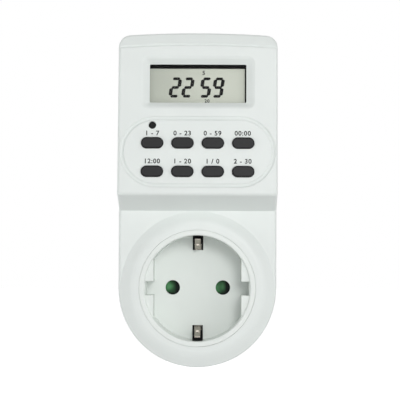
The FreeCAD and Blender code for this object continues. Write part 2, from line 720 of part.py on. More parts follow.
# Simple solids
def block(name, x, y, z, frame=WALL):
    """A box from three pairs of limits."""
    x, y, z = [tuple(as_size(limit) for limit in pair) for pair in (x, y, z)]
    box = doc.addObject("Part::Box", name)
    for side, pair in zip(("Length", "Width", "Height"), (x, y, z)):
        box.setExpression(side, (pair[1] - pair[0]).text)
    place(box, frame, x[0], y[0], z[0])
    return box


def rod(name, radius, z, x=ZERO, y=ZERO, frame=WALL):
    """A cylinder that stands along the frame's z, between two heights."""
    low, high = as_size(z[0]), as_size(z[1])
    cylinder = doc.addObject("Part::Cylinder", name)
    cylinder.setExpression("Radius", as_size(radius).text)
    cylinder.setExpression("Height", (high - low).text)
    place(cylinder, frame, x, y, low)
    return cylinder


def fuse(name, pieces):
    item = doc.addObject("Part::MultiFuse", name)
    item.Shapes = pieces
    item.Refine = True
    return item


def cut(name, base, tools):
    item = doc.addObject("Part::Cut", name)
    item.Base = base
    item.Tool = tools[0] if len(tools) == 1 else fuse(f"{name}_tools", tools)
    item.Refine = True
    return item


NODES = []


def keep(thing, label):
    thing.Label = label
    NODES.append(thing)


# Housing shells
def side_points(inset):
    """Foot of the step and lower edge of the control face, seen from the side."""
    lean, tilt = s.step_lean, s.face_tilt
    across = inset / cosine(lean)
    down = inset / cosine(tilt)
    edge_shift = (across - down * tangent(lean)) / (tangent(tilt) * tangent(lean) + 1)
    edge_out = step_height - down - edge_shift * tangent(tilt)
    foot_out = base_height - inset
    foot_up = step_up + across - (step_height - foot_out) * tangent(lean)
    return (foot_up, foot_out), (step_up + edge_shift, edge_out)


def shell_form(name, inset, low):
    """The housing's front half as a solid, with every face moved in by the inset."""
    body = new_body(name)
    sketch = new_sketch(body, "outline", low)
    front_outline(sketch, inset)
    ceiling = step_height + CLEAR_OF_ALL
    pad(body, sketch, ceiling - low, "block")
    fillet(body, s.corner_radius - inset, "corners", is_upper_corner)
    sketch = new_sketch(body, "side", role="YZ_Plane")
    foot, edge = side_points(inset)
    far = body_top + CLEAR_OF_ALL
    face_end = edge[1] - (far - edge[0]) * tangent(s.face_tilt)
    above = ceiling + CLEAR_OF_ALL
    polygon(sketch, [
        (-far, foot[1]), foot, edge, (far, face_end), (far, above), (-far, above),
    ])
    pocket(body, sketch, "front", symmetric=True)
    return body


def is_upper_corner(edge):
    return is_upright(edge) and edge.CenterOfMass.y > step_up.value


crease_height = step_height - (crease_up - step_up) * tangent(s.face_tilt)
crease_radius = (half_width * half_width + s.crease_bow * s.crease_bow) / (s.crease_bow * 2)


def turn_about_crease(body, name, kind, draw):
    """Turns a profile round the far centre of the arched crease."""
    sketch = new_sketch(body, name, role="YZ_Plane")
    centre = crease_up - crease_radius
    axis = sketch.addGeometry(Part.LineSegment(vector(centre, 0), vector(centre, CLEAR_OF_ALL)), True)
    hold_point(sketch, axis, 1, centre, ZERO)
    hold_point(sketch, axis, 2, centre, CLEAR_OF_ALL)
    draw(sketch)
    turn_feature(body, kind, sketch, f"{name}_turned", (sketch, ["Axis0"]), FAR_TURN)


def make_brow_form():
    """The whole outline under the leaning brow, which is part of a wide cone."""
    body = new_body("brow_form")
    sketch = new_sketch(body, "outline", s.split_height)
    front_outline(sketch, ZERO)
    pad(body, sketch, body_top, "block")
    fillet(body, s.corner_radius, "corners", is_upper_corner)
    turn_about_crease(body, "brow", "Groove", draw_brow)
    fillet(body, s.edge_radius, "brow_edge", is_brow_rim)
    return body


def draw_brow(sketch):
    low, high = crease_up / 3, body_top + CLEAR_OF_ALL
    above = body_top * 2
    polygon(sketch, [
        (low, crease_height + (crease_up - low) * tangent(s.brow_tilt)),
        (high, crease_height - (high - crease_up) * tangent(s.brow_tilt)),
        (high, above),
        (low, above),
    ])


def is_brow_rim(edge):
    """An edge between the brow's cone and the walls round the upper end."""
    box = edge.BoundBox
    at_side = abs(abs(box.XMin) - half_width.value) < 1e-3 and box.XLength < 1e-3
    beyond_crease = box.YMin > crease_up.value - s.crease_bow.value - s.corner_radius.value
    ends_low = box.ZMax < crease_height.value + 1
    if is_upright(edge) or is_level(edge, s.split_height):
        return False
    return (at_side and box.YLength > s.corner_radius.value) or (beyond_crease and ends_low)


def round_groove(width, depth):
    """Radius of a round-bottomed groove and the height of its centre over the surface."""
    radius = (width * width / 4 + depth * depth) / (depth * 2)
    return radius, radius - depth


def draw_crease(sketch):
    radius, lift = round_groove(s.crease_width, s.crease_depth)
    circle(sketch, radius, crease_up, crease_height + lift)


def make_front_housing():
    body = shell_form("front_form", ZERO, s.split_height)
    foot, edge = side_points(ZERO)
    fillet(body, s.step_radius, "step_edge", lambda e: is_step_edge(e, edge))
    fillet(body, s.edge_radius, "outer_edges", is_front_rim)
    fillet(body, s.parting_bevel, "parting", lambda e: is_level(e, s.split_height), "Chamfer")
    housing = doc.addObject("Part::Common", "front_under_brow")
    housing.Base = body
    housing.Tool = make_brow_form()
    ring = new_body("front_ring")
    sketch = new_sketch(ring, "boss", role="YZ_Plane")
    polygon(sketch, [
        (ZERO, base_height - OVERLAP),
        (boss_foot_radius, base_height - OVERLAP),
        (boss_foot_radius, base_height),
        (boss_radius, boss_height),
        (ZERO, boss_height),
    ])
    turn_feature(ring, "Revolution", sketch, "ring", (axis_of(ring, "Z_Axis"), [""]))
    fillet(ring, s.boss_round, "ring_edge", lambda e: is_ring(e, boss_radius, boss_height))

    cavity = shell_form("front_cavity", s.wall, s.split_height - OVERLAP)
    high = step_height + CLEAR_OF_ALL
    bosses = [
        rod(f"front_boss_{i}", s.screw_boss_radius, (s.split_height, high), x, y)
        for i, (x, y) in enumerate(screw_places())
    ]
    bosses += [
        rod(f"board_boss_{i}", s.board_boss_radius, (board_front, CLEAR_OF_ALL), x, y, FACE)
        for i, (x, y) in enumerate(board_screw_places())
    ]
    room = cut("front_room", cavity, bosses)
    rebate = new_body("front_rebate")
    sketch = new_sketch(rebate, "outline", s.split_height - OVERLAP)
    front_outline(sketch, s.wall / 2)
    pad(rebate, sketch, OVERLAP + s.lip_height + s.fit_gap, "block")
    fillet(rebate, s.corner_radius - s.wall / 2, "corners", is_upper_corner)
    sketch = new_sketch(rebate, "core", s.split_height - OVERLAP - OVERLAP)
    front_outline(sketch, s.wall)
    pocket(rebate, sketch, "core_cut", reverse=True)
    crease = new_body("front_crease")
    turn_about_crease(crease, "crease", "Revolution", draw_crease)
    tools = [room, rebate, crease, make_face_openings(), make_keypad_groove()]
    hole = ring_radius + s.fit_gap / 2
    tools.append(rod("socket_hole", hole, (s.split_height, high)))
    screw_hole = s.screw_radius + s.fit_gap / 2
    screw_end = s.screw_head_depth + s.screw_length + OVERLAP
    for i, (x, y) in enumerate(screw_places()):
        tools.append(rod(f"front_hole_{i}", screw_hole, (s.split_height - OVERLAP, screw_end), x, y))
    pilot = s.small_screw_radius + s.fit_gap / 2
    for i, (x, y) in enumerate(board_screw_places()):
        span = (board_front - OVERLAP, board_front + s.small_screw_length)
        tools.append(rod(f"board_hole_{i}", pilot, span, x, y, FACE))
    keep(cut("front_shell", fuse("front_solid", [housing, ring]), tools), "front_housing")


def is_step_edge(edge, spot):
    middle = edge.CenterOfMass
    near = abs(middle.y - spot[0].value) < 1e-3 and abs(middle.z - spot[1].value) < 1e-3
    return near and edge.BoundBox.XLength > half_width.value


def is_front_rim(edge):
    """An edge between the front faces and the upright walls."""
    box = edge.BoundBox
    if is_upright(edge) or box.ZMax < s.split_height.value + 1:
        return False
    on_side = min(abs(abs(box.XMin) - half_width.value), abs(abs(box.XMax) - half_width.value)) < 1e-3
    flat_side = on_side and box.XLength < 1e-3
    middle = edge.CenterOfMass
    low_end = middle.y < -1e-3
    top_end = middle.y > crease_up.value
    return flat_side or low_end or (top_end and box.YMax > shoulder_up.value - s.corner_radius.value)


def is_ring(edge, radius, height):
    found = radius_of(edge)
    return found is not None and abs(found - radius.value) < 1e-3 and is_level(edge, height)


def screw_places():
    top_side = half_width - s.top_screw_inset
    low_side = half_width - s.low_screw_inset
    top = [(top_side * side, top_screw_up) for side in (-1, 1)]
    low = [(low_side * side, low_screw_up) for side in (-1, 1)]
    return top + low


def board_screw_places():
    heights = (board_boss_low, board_boss_high)
    return [(board_boss_side * side, height) for height in heights for side in (-1, 1)]


def power_post_places():
    heights = (power_low + s.power_post_inset, power_high - s.power_post_inset)
    return [(power_post_place * side, height) for height in heights for side in (-1, 1)]


def key_places():
    return [(x, y) for y in (upper_row, lower_row) for x in key_columns]


def make_face_openings():
    """Display opening with its slopes, the eight key holes and the clear button's hole."""
    body = new_body("face_openings", FACE)
    outer = new_sketch(body, "bezel_outer", JUST_PROUD)
    rounded_rectangle(outer, bezel_width, s.bezel_height, s.bezel_corner, ZERO, bezel_up)
    inner = new_sketch(body, "bezel_inner", -s.bezel_depth)
    rounded_rectangle(inner, view_width, s.view_height, s.view_corner, ZERO, view_up)
    slopes = feature(body, "AdditiveLoft", outer, "slopes")
    slopes.Sections = [inner]
    slopes.Ruled = True
    settle(slopes, 0.0, True)
    share = s.bezel_bevel / s.slope_width
    rim = new_sketch(body, "bevel_outer", JUST_PROUD)
    rounded_rectangle(rim, bezel_width + s.bezel_bevel * 2, s.bezel_height + s.bezel_bevel * 2,
                      s.bezel_corner + s.bezel_bevel, ZERO, bezel_up)
    seat = new_sketch(body, "bevel_inner", -(s.bezel_depth * share))
    rounded_rectangle(seat, bezel_width + (view_width - bezel_width) * share,
                      s.bezel_height + (s.view_height - s.bezel_height) * share,
                      s.bezel_corner + (s.view_corner - s.bezel_corner) * share,
                      ZERO, bezel_up + (view_up - bezel_up) * share)
    before = volume_of(body)
    bevel = feature(body, "AdditiveLoft", rim, "bevel")
    bevel.Sections = [seat]
    bevel.Ruled = True
    settle(bevel, before, True)
    through = new_sketch(body, "view", -s.wall - OVERLAP)
    rounded_rectangle(through, view_width, s.view_height, s.view_corner, ZERO, view_up)
    pad(body, through, s.wall + OVERLAP, "view_hole")
    holes = new_body("key_holes", FACE)
    sketch = new_sketch(holes, "stadiums", -s.wall - OVERLAP)
    for x, y in key_places():
        stadium(sketch, key_length + s.key_gap * 2, s.key_width + s.key_gap * 2, x, y)
    circle(sketch, s.reset_radius + s.reset_gap, -reset_side, reset_up)
    pad(holes, sketch, s.wall + CLEAR_OF_ALL, "through")
    return fuse("face_holes", [body, holes])


def make_keypad_groove():
    """The oval groove, as half rings and straight lengths of one round section."""
    radius, lift = round_groove(s.groove_width, s.groove_depth)
    end_radius = (s.groove_height - s.groove_width) / 2
    reach = (groove_length - s.groove_width) / 2 - end_radius
    pieces = []
    for i, side in enumerate((-1, 1)):
        straight = new_body(f"groove_straight_{i}", FACE, ZERO, groove_up + end_radius * side, lift)
        sketch = new_sketch(straight, "section", role="YZ_Plane")
        circle(sketch, radius)
        pad(straight, sketch, reach * 2, "run", symmetric=True)
        bend = new_body(f"groove_bend_{i}", FACE, reach * side, groove_up, lift)
        sketch = new_sketch(bend, "section", role="XZ_Plane")
        circle(sketch, radius, end_radius * side, ZERO)
        turn_feature(bend, "Revolution", sketch, "turn", (axis_of(bend, "Z_Axis"), [""]), 180)
        pieces += [straight, bend]
    return fuse("keypad_groove", pieces)


def plug_profile_cuts(body):
    """Side flats, ribs and earth grooves of the plug body."""
    far = s.plug_radius + CLEAR_OF_ALL
    sketch = new_sketch(body, "flats")
    for side in (-1, 1):
        for part in (-1, 1):
            x = sorted([s.plug_flat * side, far * side], key=lambda size: size.value)
            y = sorted([s.rib_width / 2 * part, far * part], key=lambda size: size.value)
            rectangle(sketch, x[0], x[1], y[0], y[1])
    pocket(body, sketch, "flats_cut", s.plug_depth + CLEAR_OF_ALL)
    sketch = new_sketch(body, "grooves")
    half = s.earth_groove_width / 2
    rectangle(sketch, -half, half, s.earth_groove_floor, far)
    rectangle(sketch, -half, half, -far, -s.earth_groove_floor)
    pocket(body, sketch, "grooves_cut", s.plug_depth + CLEAR_OF_ALL)


def make_rear_cover():
    plug = new_body("plug_form")
    sketch = new_sketch(plug, "round")
    circle(sketch, s.plug_radius)
    pad(plug, sketch, s.plug_depth, "block", reverse=True)
    fillet(plug, s.edge_radius, "nose", lambda e: is_ring(e, s.plug_radius, -s.plug_depth))
    plug_profile_cuts(plug)

    body = new_body("cover_form")
    sketch = new_sketch(body, "outline")
    front_outline(sketch, ZERO)
    pad(body, sketch, s.split_height, "tray")
    fillet(body, s.corner_radius, "corners", is_upper_corner)
    fillet(body, s.rear_edge_radius, "rear_edge", lambda e: is_level(e, ZERO))
    fillet(body, s.parting_bevel, "parting", lambda e: is_level(e, s.split_height), "Chamfer")
    sketch = new_sketch(body, "inside", s.split_height)
    front_outline(sketch, s.wall)
    pocket(body, sketch, "inside_cut", s.split_height - s.wall)
    sketch = new_sketch(body, "wells", s.wall - OVERLAP)
    for x, y in screw_places():
        circle(sketch, well_radius, x, y)
    pad(body, sketch, s.split_height - s.wall + OVERLAP, "well_posts")
    sketch = new_sketch(body, "posts", s.wall - OVERLAP)
    for x, y in power_post_places():
        circle(sketch, s.power_post_radius, x, y)
    pad(body, sketch, power_back - s.wall + OVERLAP, "board_posts")
    sketch = new_sketch(body, "supports", s.wall - OVERLAP)
    for x in (-1, 1):
        for y in (-1, 1):
            circle(sketch, s.support_radius, s.support_place * x, s.support_place * y)
    pad(body, sketch, floor_back - s.wall + OVERLAP, "insert_supports")
    sketch = new_sketch(body, "label")
    rounded_rectangle(sketch, s.label_width, s.label_height, s.label_corner, ZERO, s.label_up)
    pocket(body, sketch, "label_recess", s.label_depth, reverse=True)

    lip = new_body("lip_form")
    sketch = new_sketch(lip, "outline", s.split_height)
    front_outline(sketch, s.wall / 2 + s.fit_gap)
    pad(lip, sketch, s.lip_height, "block")
    fillet(lip, s.corner_radius - s.wall / 2 - s.fit_gap, "corners", is_upper_corner)
    sketch = new_sketch(lip, "core", s.split_height - OVERLAP)
    front_outline(sketch, s.wall)
    pocket(lip, sketch, "core_cut", reverse=True)

    tools = []
    for i, (x, y) in enumerate(screw_places()):
        well = well_radius - s.screw_well_wall
        hole = s.screw_radius + s.fit_gap
        tools.append(rod(f"well_{i}", well, (-OVERLAP, s.screw_head_depth), x, y))
        tools.append(rod(f"well_hole_{i}", hole, (ZERO, s.split_height + OVERLAP), x, y))
    pilot = s.small_screw_radius + s.fit_gap / 2
    for i, (x, y) in enumerate(power_post_places()):
        span = (power_back - s.small_screw_length, power_back + OVERLAP)
        tools.append(rod(f"power_hole_{i}", pilot, span, x, y))
    chamber = new_body("plug_chamber")
    sketch = new_sketch(chamber, "section", plug_inside)
    barrel(sketch, s.plug_radius - s.plug_wall, s.plug_flat - s.plug_wall)
    pad(chamber, sketch, s.plug_depth - s.plug_face + s.wall + OVERLAP, "room")
    sketch = new_sketch(chamber, "trim", plug_inside)
    side = s.earth_groove_floor - s.plug_wall
    far = s.plug_radius + CLEAR_OF_ALL
    for up in (-1, 1):
        y = sorted([side * up, far * up], key=lambda size: size.value)
        rectangle(sketch, -far, far, y[0], y[1])
    pocket(chamber, sketch, "trim_cut", reverse=True)
    tools.append(chamber)
    for side in (-1, 1):
        name = "left" if side < 0 else "right"
        span = (-s.plug_depth - OVERLAP, plug_inside + OVERLAP)
        tools.append(rod(f"pin_hole_{name}", neck_radius + s.fit_gap / 2, span, pin_side * side))
    slot_half = s.earth_contact_width / 2 + s.fit_gap
    for side in (-1, 1):
        name = "low" if side < 0 else "high"
        y = sorted([s.earth_groove_floor * side, (contact_foot + s.fit_gap) * side],
                   key=lambda size: size.value)
        tools.append(block(f"earth_slot_{name}", (-slot_half, slot_half), y, (-OVERLAP, s.wall + OVERLAP)))
    keep(cut("cover_shell", fuse("cover_solid", [body, plug, lip]), tools), "rear_cover")


# Socket
def make_socket_insert():
    body = new_body("insert_form")
    sketch = new_sketch(body, "round", floor_back)
    circle(sketch, ring_radius)
    pad(body, sketch, rim_height - floor_back, "cup")
    sketch = new_sketch(body, "mouth", rim_height)
    circle(sketch, s.recess_radius)
    pocket(body, sketch, "mouth_cut", s.shelf_drop)
    fillet(body, s.rim_radius, "rim", lambda e: is_ring(e, s.recess_radius, rim_height))
    fillet(body, s.rim_side_radius, "rim_side", lambda e: is_ring(e, ring_radius, rim_height))
    sketch = new_sketch(body, "recess", rim_height - s.shelf_drop)
    barrel(sketch, s.recess_radius, s.shelf_half)
    pocket(body, sketch, "recess_cut", rim_height - s.shelf_drop - recess_floor)
    sketch = new_sketch(body, "keyways", rim_height - s.shelf_drop)
    half = s.keyway_width / 2
    reach = s.recess_radius - s.keyway_inset
    rectangle(sketch, -reach, reach, -half, half)
    pocket(body, sketch, "keyways_cut", rim_height - s.shelf_drop - recess_floor)
    top = base_height - s.wall
    sketch = new_sketch(body, "flange", top - s.flange_thickness)
    circle(sketch, flange_radius)
    circle(sketch, ring_radius - OVERLAP)
    pad(body, sketch, s.flange_thickness, "flange_ring")
    sketch = new_sketch(body, "windows", rim_height - s.window_top_gap)
    half = s.window_width / 2
    wall_end = ring_radius + s.fit_gap
    rectangle(sketch, -half, half, window_inner, wall_end)
    rectangle(sketch, -half, half, -wall_end, -window_inner)
    pocket(body, sketch, "windows_cut")
    sketch = new_sketch(body, "holes", rim_height)
    for side in (-1, 1):
        circle(sketch, s.pin_hole_radius, pin_side * side, ZERO)
    pocket(body, sketch, "holes_cut")
    sketch = new_sketch(body, "pivot", retainer_front)
    circle(sketch, s.pivot_radius)
    pad(body, sketch, floor_back - retainer_front + OVERLAP, "pivot_post")
    sketch = new_sketch(body, "retainer_posts", retainer_front)
    for x, y in retainer_screw_places():
        circle(sketch, s.retainer_post_radius, x, y)
    pad(body, sketch, floor_back - retainer_front + OVERLAP, "retainer_bosses")
    sketch = new_sketch(body, "spring_posts", retainer_front)
    circle(sketch, s.spring_post_radius, -s.spring_post_side, s.spring_post_up)
    circle(sketch, s.spring_stop_radius, spring_stop_place, s.spring_post_up + s.spring_leg)
    pad(body, sketch, floor_back - retainer_front + OVERLAP, "spring_bosses")
    sketch = new_sketch(body, "retainer_holes", retainer_front)
    for x, y in retainer_screw_places():
        circle(sketch, s.retainer_screw_radius + s.fit_gap / 2, x, y)
    pocket(body, sketch, "pilot_holes", s.retainer_screw_length, reverse=True)
    keep(body, "socket_insert")


# The shutter spring's turns, and where its free leg leaves them, in degrees
SPRING_TURNS = 3
SPRING_LEAVES = 240
coil_radius = s.spring_post_radius + s.spring_wire + s.fit_gap / 2
spring_stop_place = -s.spring_post_side - coil_radius - s.spring_wire - s.fit_gap - s.spring_stop_radius
retainer_screw_rise = s.lobe_radius + s.retainer_post_radius + s.shutter_play


def retainer_screw_places():
    """One screw in each of the two corners that the shutter never sweeps."""
    return [(s.retainer_screw_side * side, retainer_screw_rise * side) for side in (-1, 1)]


def make_shutter():
    body = new_body("shutter_form", WALL, ZERO, ZERO, shutter_back)
    sketch = new_sketch(body, "leaves")
    stadium(sketch, s.pin_spacing + s.lobe_radius * 2, s.lobe_radius * 2)
    pad(body, sketch, s.shutter_thickness, "leaf_bar")
    sketch = new_sketch(body, "hub")
    circle(sketch, s.hub_radius)
    pad(body, sketch, s.shutter_thickness, "hub_disc")
    sketch = new_sketch(body, "ramps", s.shutter_thickness)
    for side in (-1, 1):
        near, far = pin_side - s.ramp_inset, pin_side + s.lobe_radius + OVERLAP
        x = sorted([near * side, far * side], key=lambda size: size.value)
        rectangle(sketch, x[0], x[1], -s.lobe_radius - OVERLAP, s.lobe_radius + OVERLAP)
    pocket(body, sketch, "ramp_steps", s.ramp_depth)
    sketch = new_sketch(body, "bore")
    circle(sketch, s.pivot_radius + s.pivot_clearance)
    pocket(body, sketch, "bore_cut", reverse=True)
    keep(body, "shutter")


def make_retainer():
    body = new_body("retainer_form", WALL, ZERO, ZERO, retainer_back)
    sketch = new_sketch(body, "plate")
    width, height = s.retainer_half_length * 2, s.retainer_half_height * 2
    rounded_rectangle(sketch, width, height, s.retainer_corner, ZERO, ZERO)
    pad(body, sketch, s.retainer_thickness, "sheet")
    sketch = new_sketch(body, "holes")
    for side in (-1, 1):
        circle(sketch, s.pin_hole_radius + OVERLAP, pin_side * side, ZERO)
    for x, y in retainer_screw_places():
        circle(sketch, s.retainer_screw_radius + s.fit_gap, x, y)
    pocket(body, sketch, "holes_cut", reverse=True)
    keep(body, "shutter_retainer")
    screws = []
    head_radius = s.retainer_screw_radius * 2
    for i, (x, y) in enumerate(retainer_screw_places()):
        head_span = (retainer_back - s.retainer_screw_radius, retainer_back)
        shank_span = (retainer_back, retainer_front + s.retainer_screw_length - s.fit_gap * 2)
        screws.append(rod(f"retainer_head_{i}", head_radius, head_span, x, y))
        screws.append(rod(f"retainer_shank_{i}", s.retainer_screw_radius, shank_span, x, y))
    keep(fuse("retainer_screw_set", screws), "retainer_screws")


def make_shutter_spring():
    """A coil round its post, with one leg on a stop and one on the shutter's left leaf."""
    middle = (floor_back + retainer_front) / 2
    body = new_body("spring_form", WALL, ZERO, ZERO, middle)
    path = new_sketch(body, "path")
    centre = (-s.spring_post_side, s.spring_post_up)
    leg_x = -s.spring_post_side - coil_radius
    leg_top = s.spring_post_up + s.spring_leg + s.spring_stop_radius
    tip = (-pin_side + s.lobe_radius / 4, s.lobe_radius + s.spring_wire + s.spring_touch)
    bend = arc(path, centre, coil_radius, 180, SPRING_LEAVES)
    fixed = line(path, (leg_x, leg_top), (leg_x, s.spring_post_up))
    leaving = math.radians(SPRING_LEAVES)
    leave_x = centre[0].value + coil_radius.value * math.cos(leaving)
    leave_y = centre[1].value + coil_radius.value * math.sin(leaving)
    free = line(path, (leave_x, leave_y), tip)
    path.addConstraint(Sketcher.Constraint("Vertical", fixed))
    join(path, "Tangent", fixed, 2, bend, 1)
    join(path, "Tangent", bend, 2, free, 1)
    hold_point(path, bend, 3, *centre)
    hold(path, "Radius", bend, size=coil_radius)
    hold(path, "DistanceY", -1, 1, fixed, 1, size=leg_top)
    hold_point(path, free, 2, *tip)
    section = new_sketch(body, "section", -leg_top, role="XZ_Plane")
    circle(section, s.spring_wire, leg_x, ZERO)
    pipe(body, section, path, "wire", "Transformed")
    coil_half = s.spring_wire * SPRING_TURNS
    coil = new_sketch(body, "coil", -coil_half)
    circle(coil, coil_radius + s.spring_wire, *centre)
    circle(coil, coil_radius - s.spring_wire, *centre)
    pad(body, coil, coil_half * 2, "turns")
    keep(body, "shutter_spring")


def pipe(body, section, path, name, transition="Round corner"):
    item = feature(body, "AdditivePipe", section, name)
    item.Spine = path
    item.Transition = transition
    return settle(item, 0.0, True)


# Contacts
def make_clip(name, side, legs):
    """A two-leaf contact clip, with the extra plates that its legs need."""
    body = new_body(f"{name}_form", WALL, pin_side * side)
    sketch = new_sketch(body, "leaves", role="XZ_Plane")
    inner = s.clip_gap / 2
    outer = inner + s.strip
    polygon(sketch, [
        (-outer, clip_floor - s.strip), (outer, clip_floor - s.strip), (outer, clip_top),
        (inner, clip_top), (inner, clip_floor), (-inner, clip_floor),
        (-inner, clip_top), (-outer, clip_top),
    ])
    pad(body, sketch, s.clip_width, "leaf_pair", symmetric=True)
    if legs:
        half = s.clip_width / 2
        leg_half = s.clip_leg_width / 2
        sketch = new_sketch(body, "leg", plate_bottom)
        rectangle(sketch, -leg_half, leg_half, -half, -half + s.strip)
        pad(body, sketch, clip_floor - plate_bottom, "leg_plate")
        pin_plate(body)
    keep(body, name)


def pin_plate(body):
    """The plate that lies on a plug pin's head and takes a lead."""
    sketch = new_sketch(body, "plate", plate_bottom)
    half = s.terminal_width / 2
    rectangle(sketch, -half, half, -s.clip_width / 2, s.terminal_reach + s.lead_radius)
    pad(body, sketch, s.strip, "pin_plate")


def make_plug_pins():
    for side, name in ((-1, "live"), (1, "neutral")):
        x = pin_side * side
        body = new_body(f"{name}_pin_form", WALL, x, ZERO, -s.plug_depth)
        sketch = new_sketch(body, "shank")
        circle(sketch, s.pin_radius)
        pad(body, sketch, s.pin_length, "length", reverse=True)
        fillet(body, s.pin_tip_radius, "tip", lambda e: is_ring(e, s.pin_radius, -s.pin_length))
        sketch = new_sketch(body, "neck")
        circle(sketch, neck_radius)
        pad(body, sketch, s.plug_face, "neck_rod")
        sketch = new_sketch(body, "head", s.plug_face)
        circle(sketch, s.pin_head_radius)
        pad(body, sketch, s.pin_head_height, "head_disc")
        keep(body, f"{name}_pin")
    body = new_body("live_terminal_form", WALL, -pin_side)
    pin_plate(body)
    keep(body, "live_terminal")


def make_carrier():
    """The black insulator that holds the clips and backs the earth springs."""
    body = new_body("carrier_form")
    bottom = plate_bottom + s.strip + s.carrier_room
    sketch = new_sketch(body, "block", bottom)
    gap = s.fit_gap
    barrel(sketch, s.plug_radius - s.plug_wall - gap, s.plug_flat - s.plug_wall - gap)
    pad(body, sketch, s.wall - bottom, "plug_part")
    far = s.plug_radius + CLEAR_OF_ALL
    sketch = new_sketch(body, "trim", s.wall)
    side = s.earth_groove_floor - s.plug_wall - gap
    for up in (-1, 1):
        y = sorted([side * up, far * up], key=lambda size: size.value)
        rectangle(sketch, -far, far, y[0], y[1])
    pocket(body, sketch, "trim_cut")
    half = s.window_width / 2 - s.fit_gap
    bar_half = s.earth_contact_width / 2 + s.crossbar_edge
    tower_out = ring_radius - s.fit_gap
    tower_in = s.recess_radius + s.fit_gap * 2
    sketch = new_sketch(body, "crossbar", s.wall)
    rectangle(sketch, -bar_half, bar_half, -tower_out, tower_out)
    pad(body, sketch, s.crossbar_thickness, "bar")
    sketch = new_sketch(body, "towers", s.wall)
    rectangle(sketch, -half, half, tower_in, tower_out)
    rectangle(sketch, -half, half, -tower_out, -tower_in)
    pad(body, sketch, rim_height - s.window_top_gap - s.wall - s.fit_gap, "earth_backs")
    sketch = new_sketch(body, "feet", crossbar_top)
    foot_half = s.earth_tongue_width / 2 + s.fit_gap
    foot_in = s.rivet_place - s.earth_foot - s.fit_gap * 2
    for up in (-1, 1):
        y = sorted([foot_in * up, (contact_foot + s.fit_gap) * up], key=lambda size: size.value)
        rectangle(sketch, -foot_half, foot_half, y[0], y[1])
    pocket(body, sketch, "feet_cut", s.crossbar_thickness)
    chamber_half = s.clip_gap / 2 + s.strip + s.fit_gap
    chamber_floor = clip_floor - s.strip
    sketch = new_sketch(body, "chambers", s.wall)
    for side in (-1, 1):
        x0, x1 = pin_side * side - chamber_half, pin_side * side + chamber_half
        half_up = s.clip_width / 2 + s.fit_gap
        rectangle(sketch, x0, x1, -half_up, half_up)
    pocket(body, sketch, "chambers_cut", s.wall - chamber_floor)
    sketch = new_sketch(body, "leg_slot", s.wall)
    leg_half = s.clip_leg_width / 2 + s.fit_gap
    y = -s.clip_width / 2 - s.fit_gap
    rectangle(sketch, pin_side - leg_half, pin_side + leg_half, y, y + s.strip + s.fit_gap * 3)
    pocket(body, sketch, "leg_slot_cut")
    sketch = new_sketch(body, "lead_ways", s.wall)
    for side in (-1, 1):
        circle(sketch, s.lead_radius + s.fit_gap * 2, pin_side * side, s.terminal_reach)
    pocket(body, sketch, "lead_ways_cut")
    sketch = new_sketch(body, "switched_way", s.wall)
    circle(sketch, s.lead_radius + s.fit_gap * 2, switched_side, ZERO)
    pocket(body, sketch, "switched_way_cut", s.wall + s.switched_start + s.fit_gap)
    keep(body, "contact_carrier")


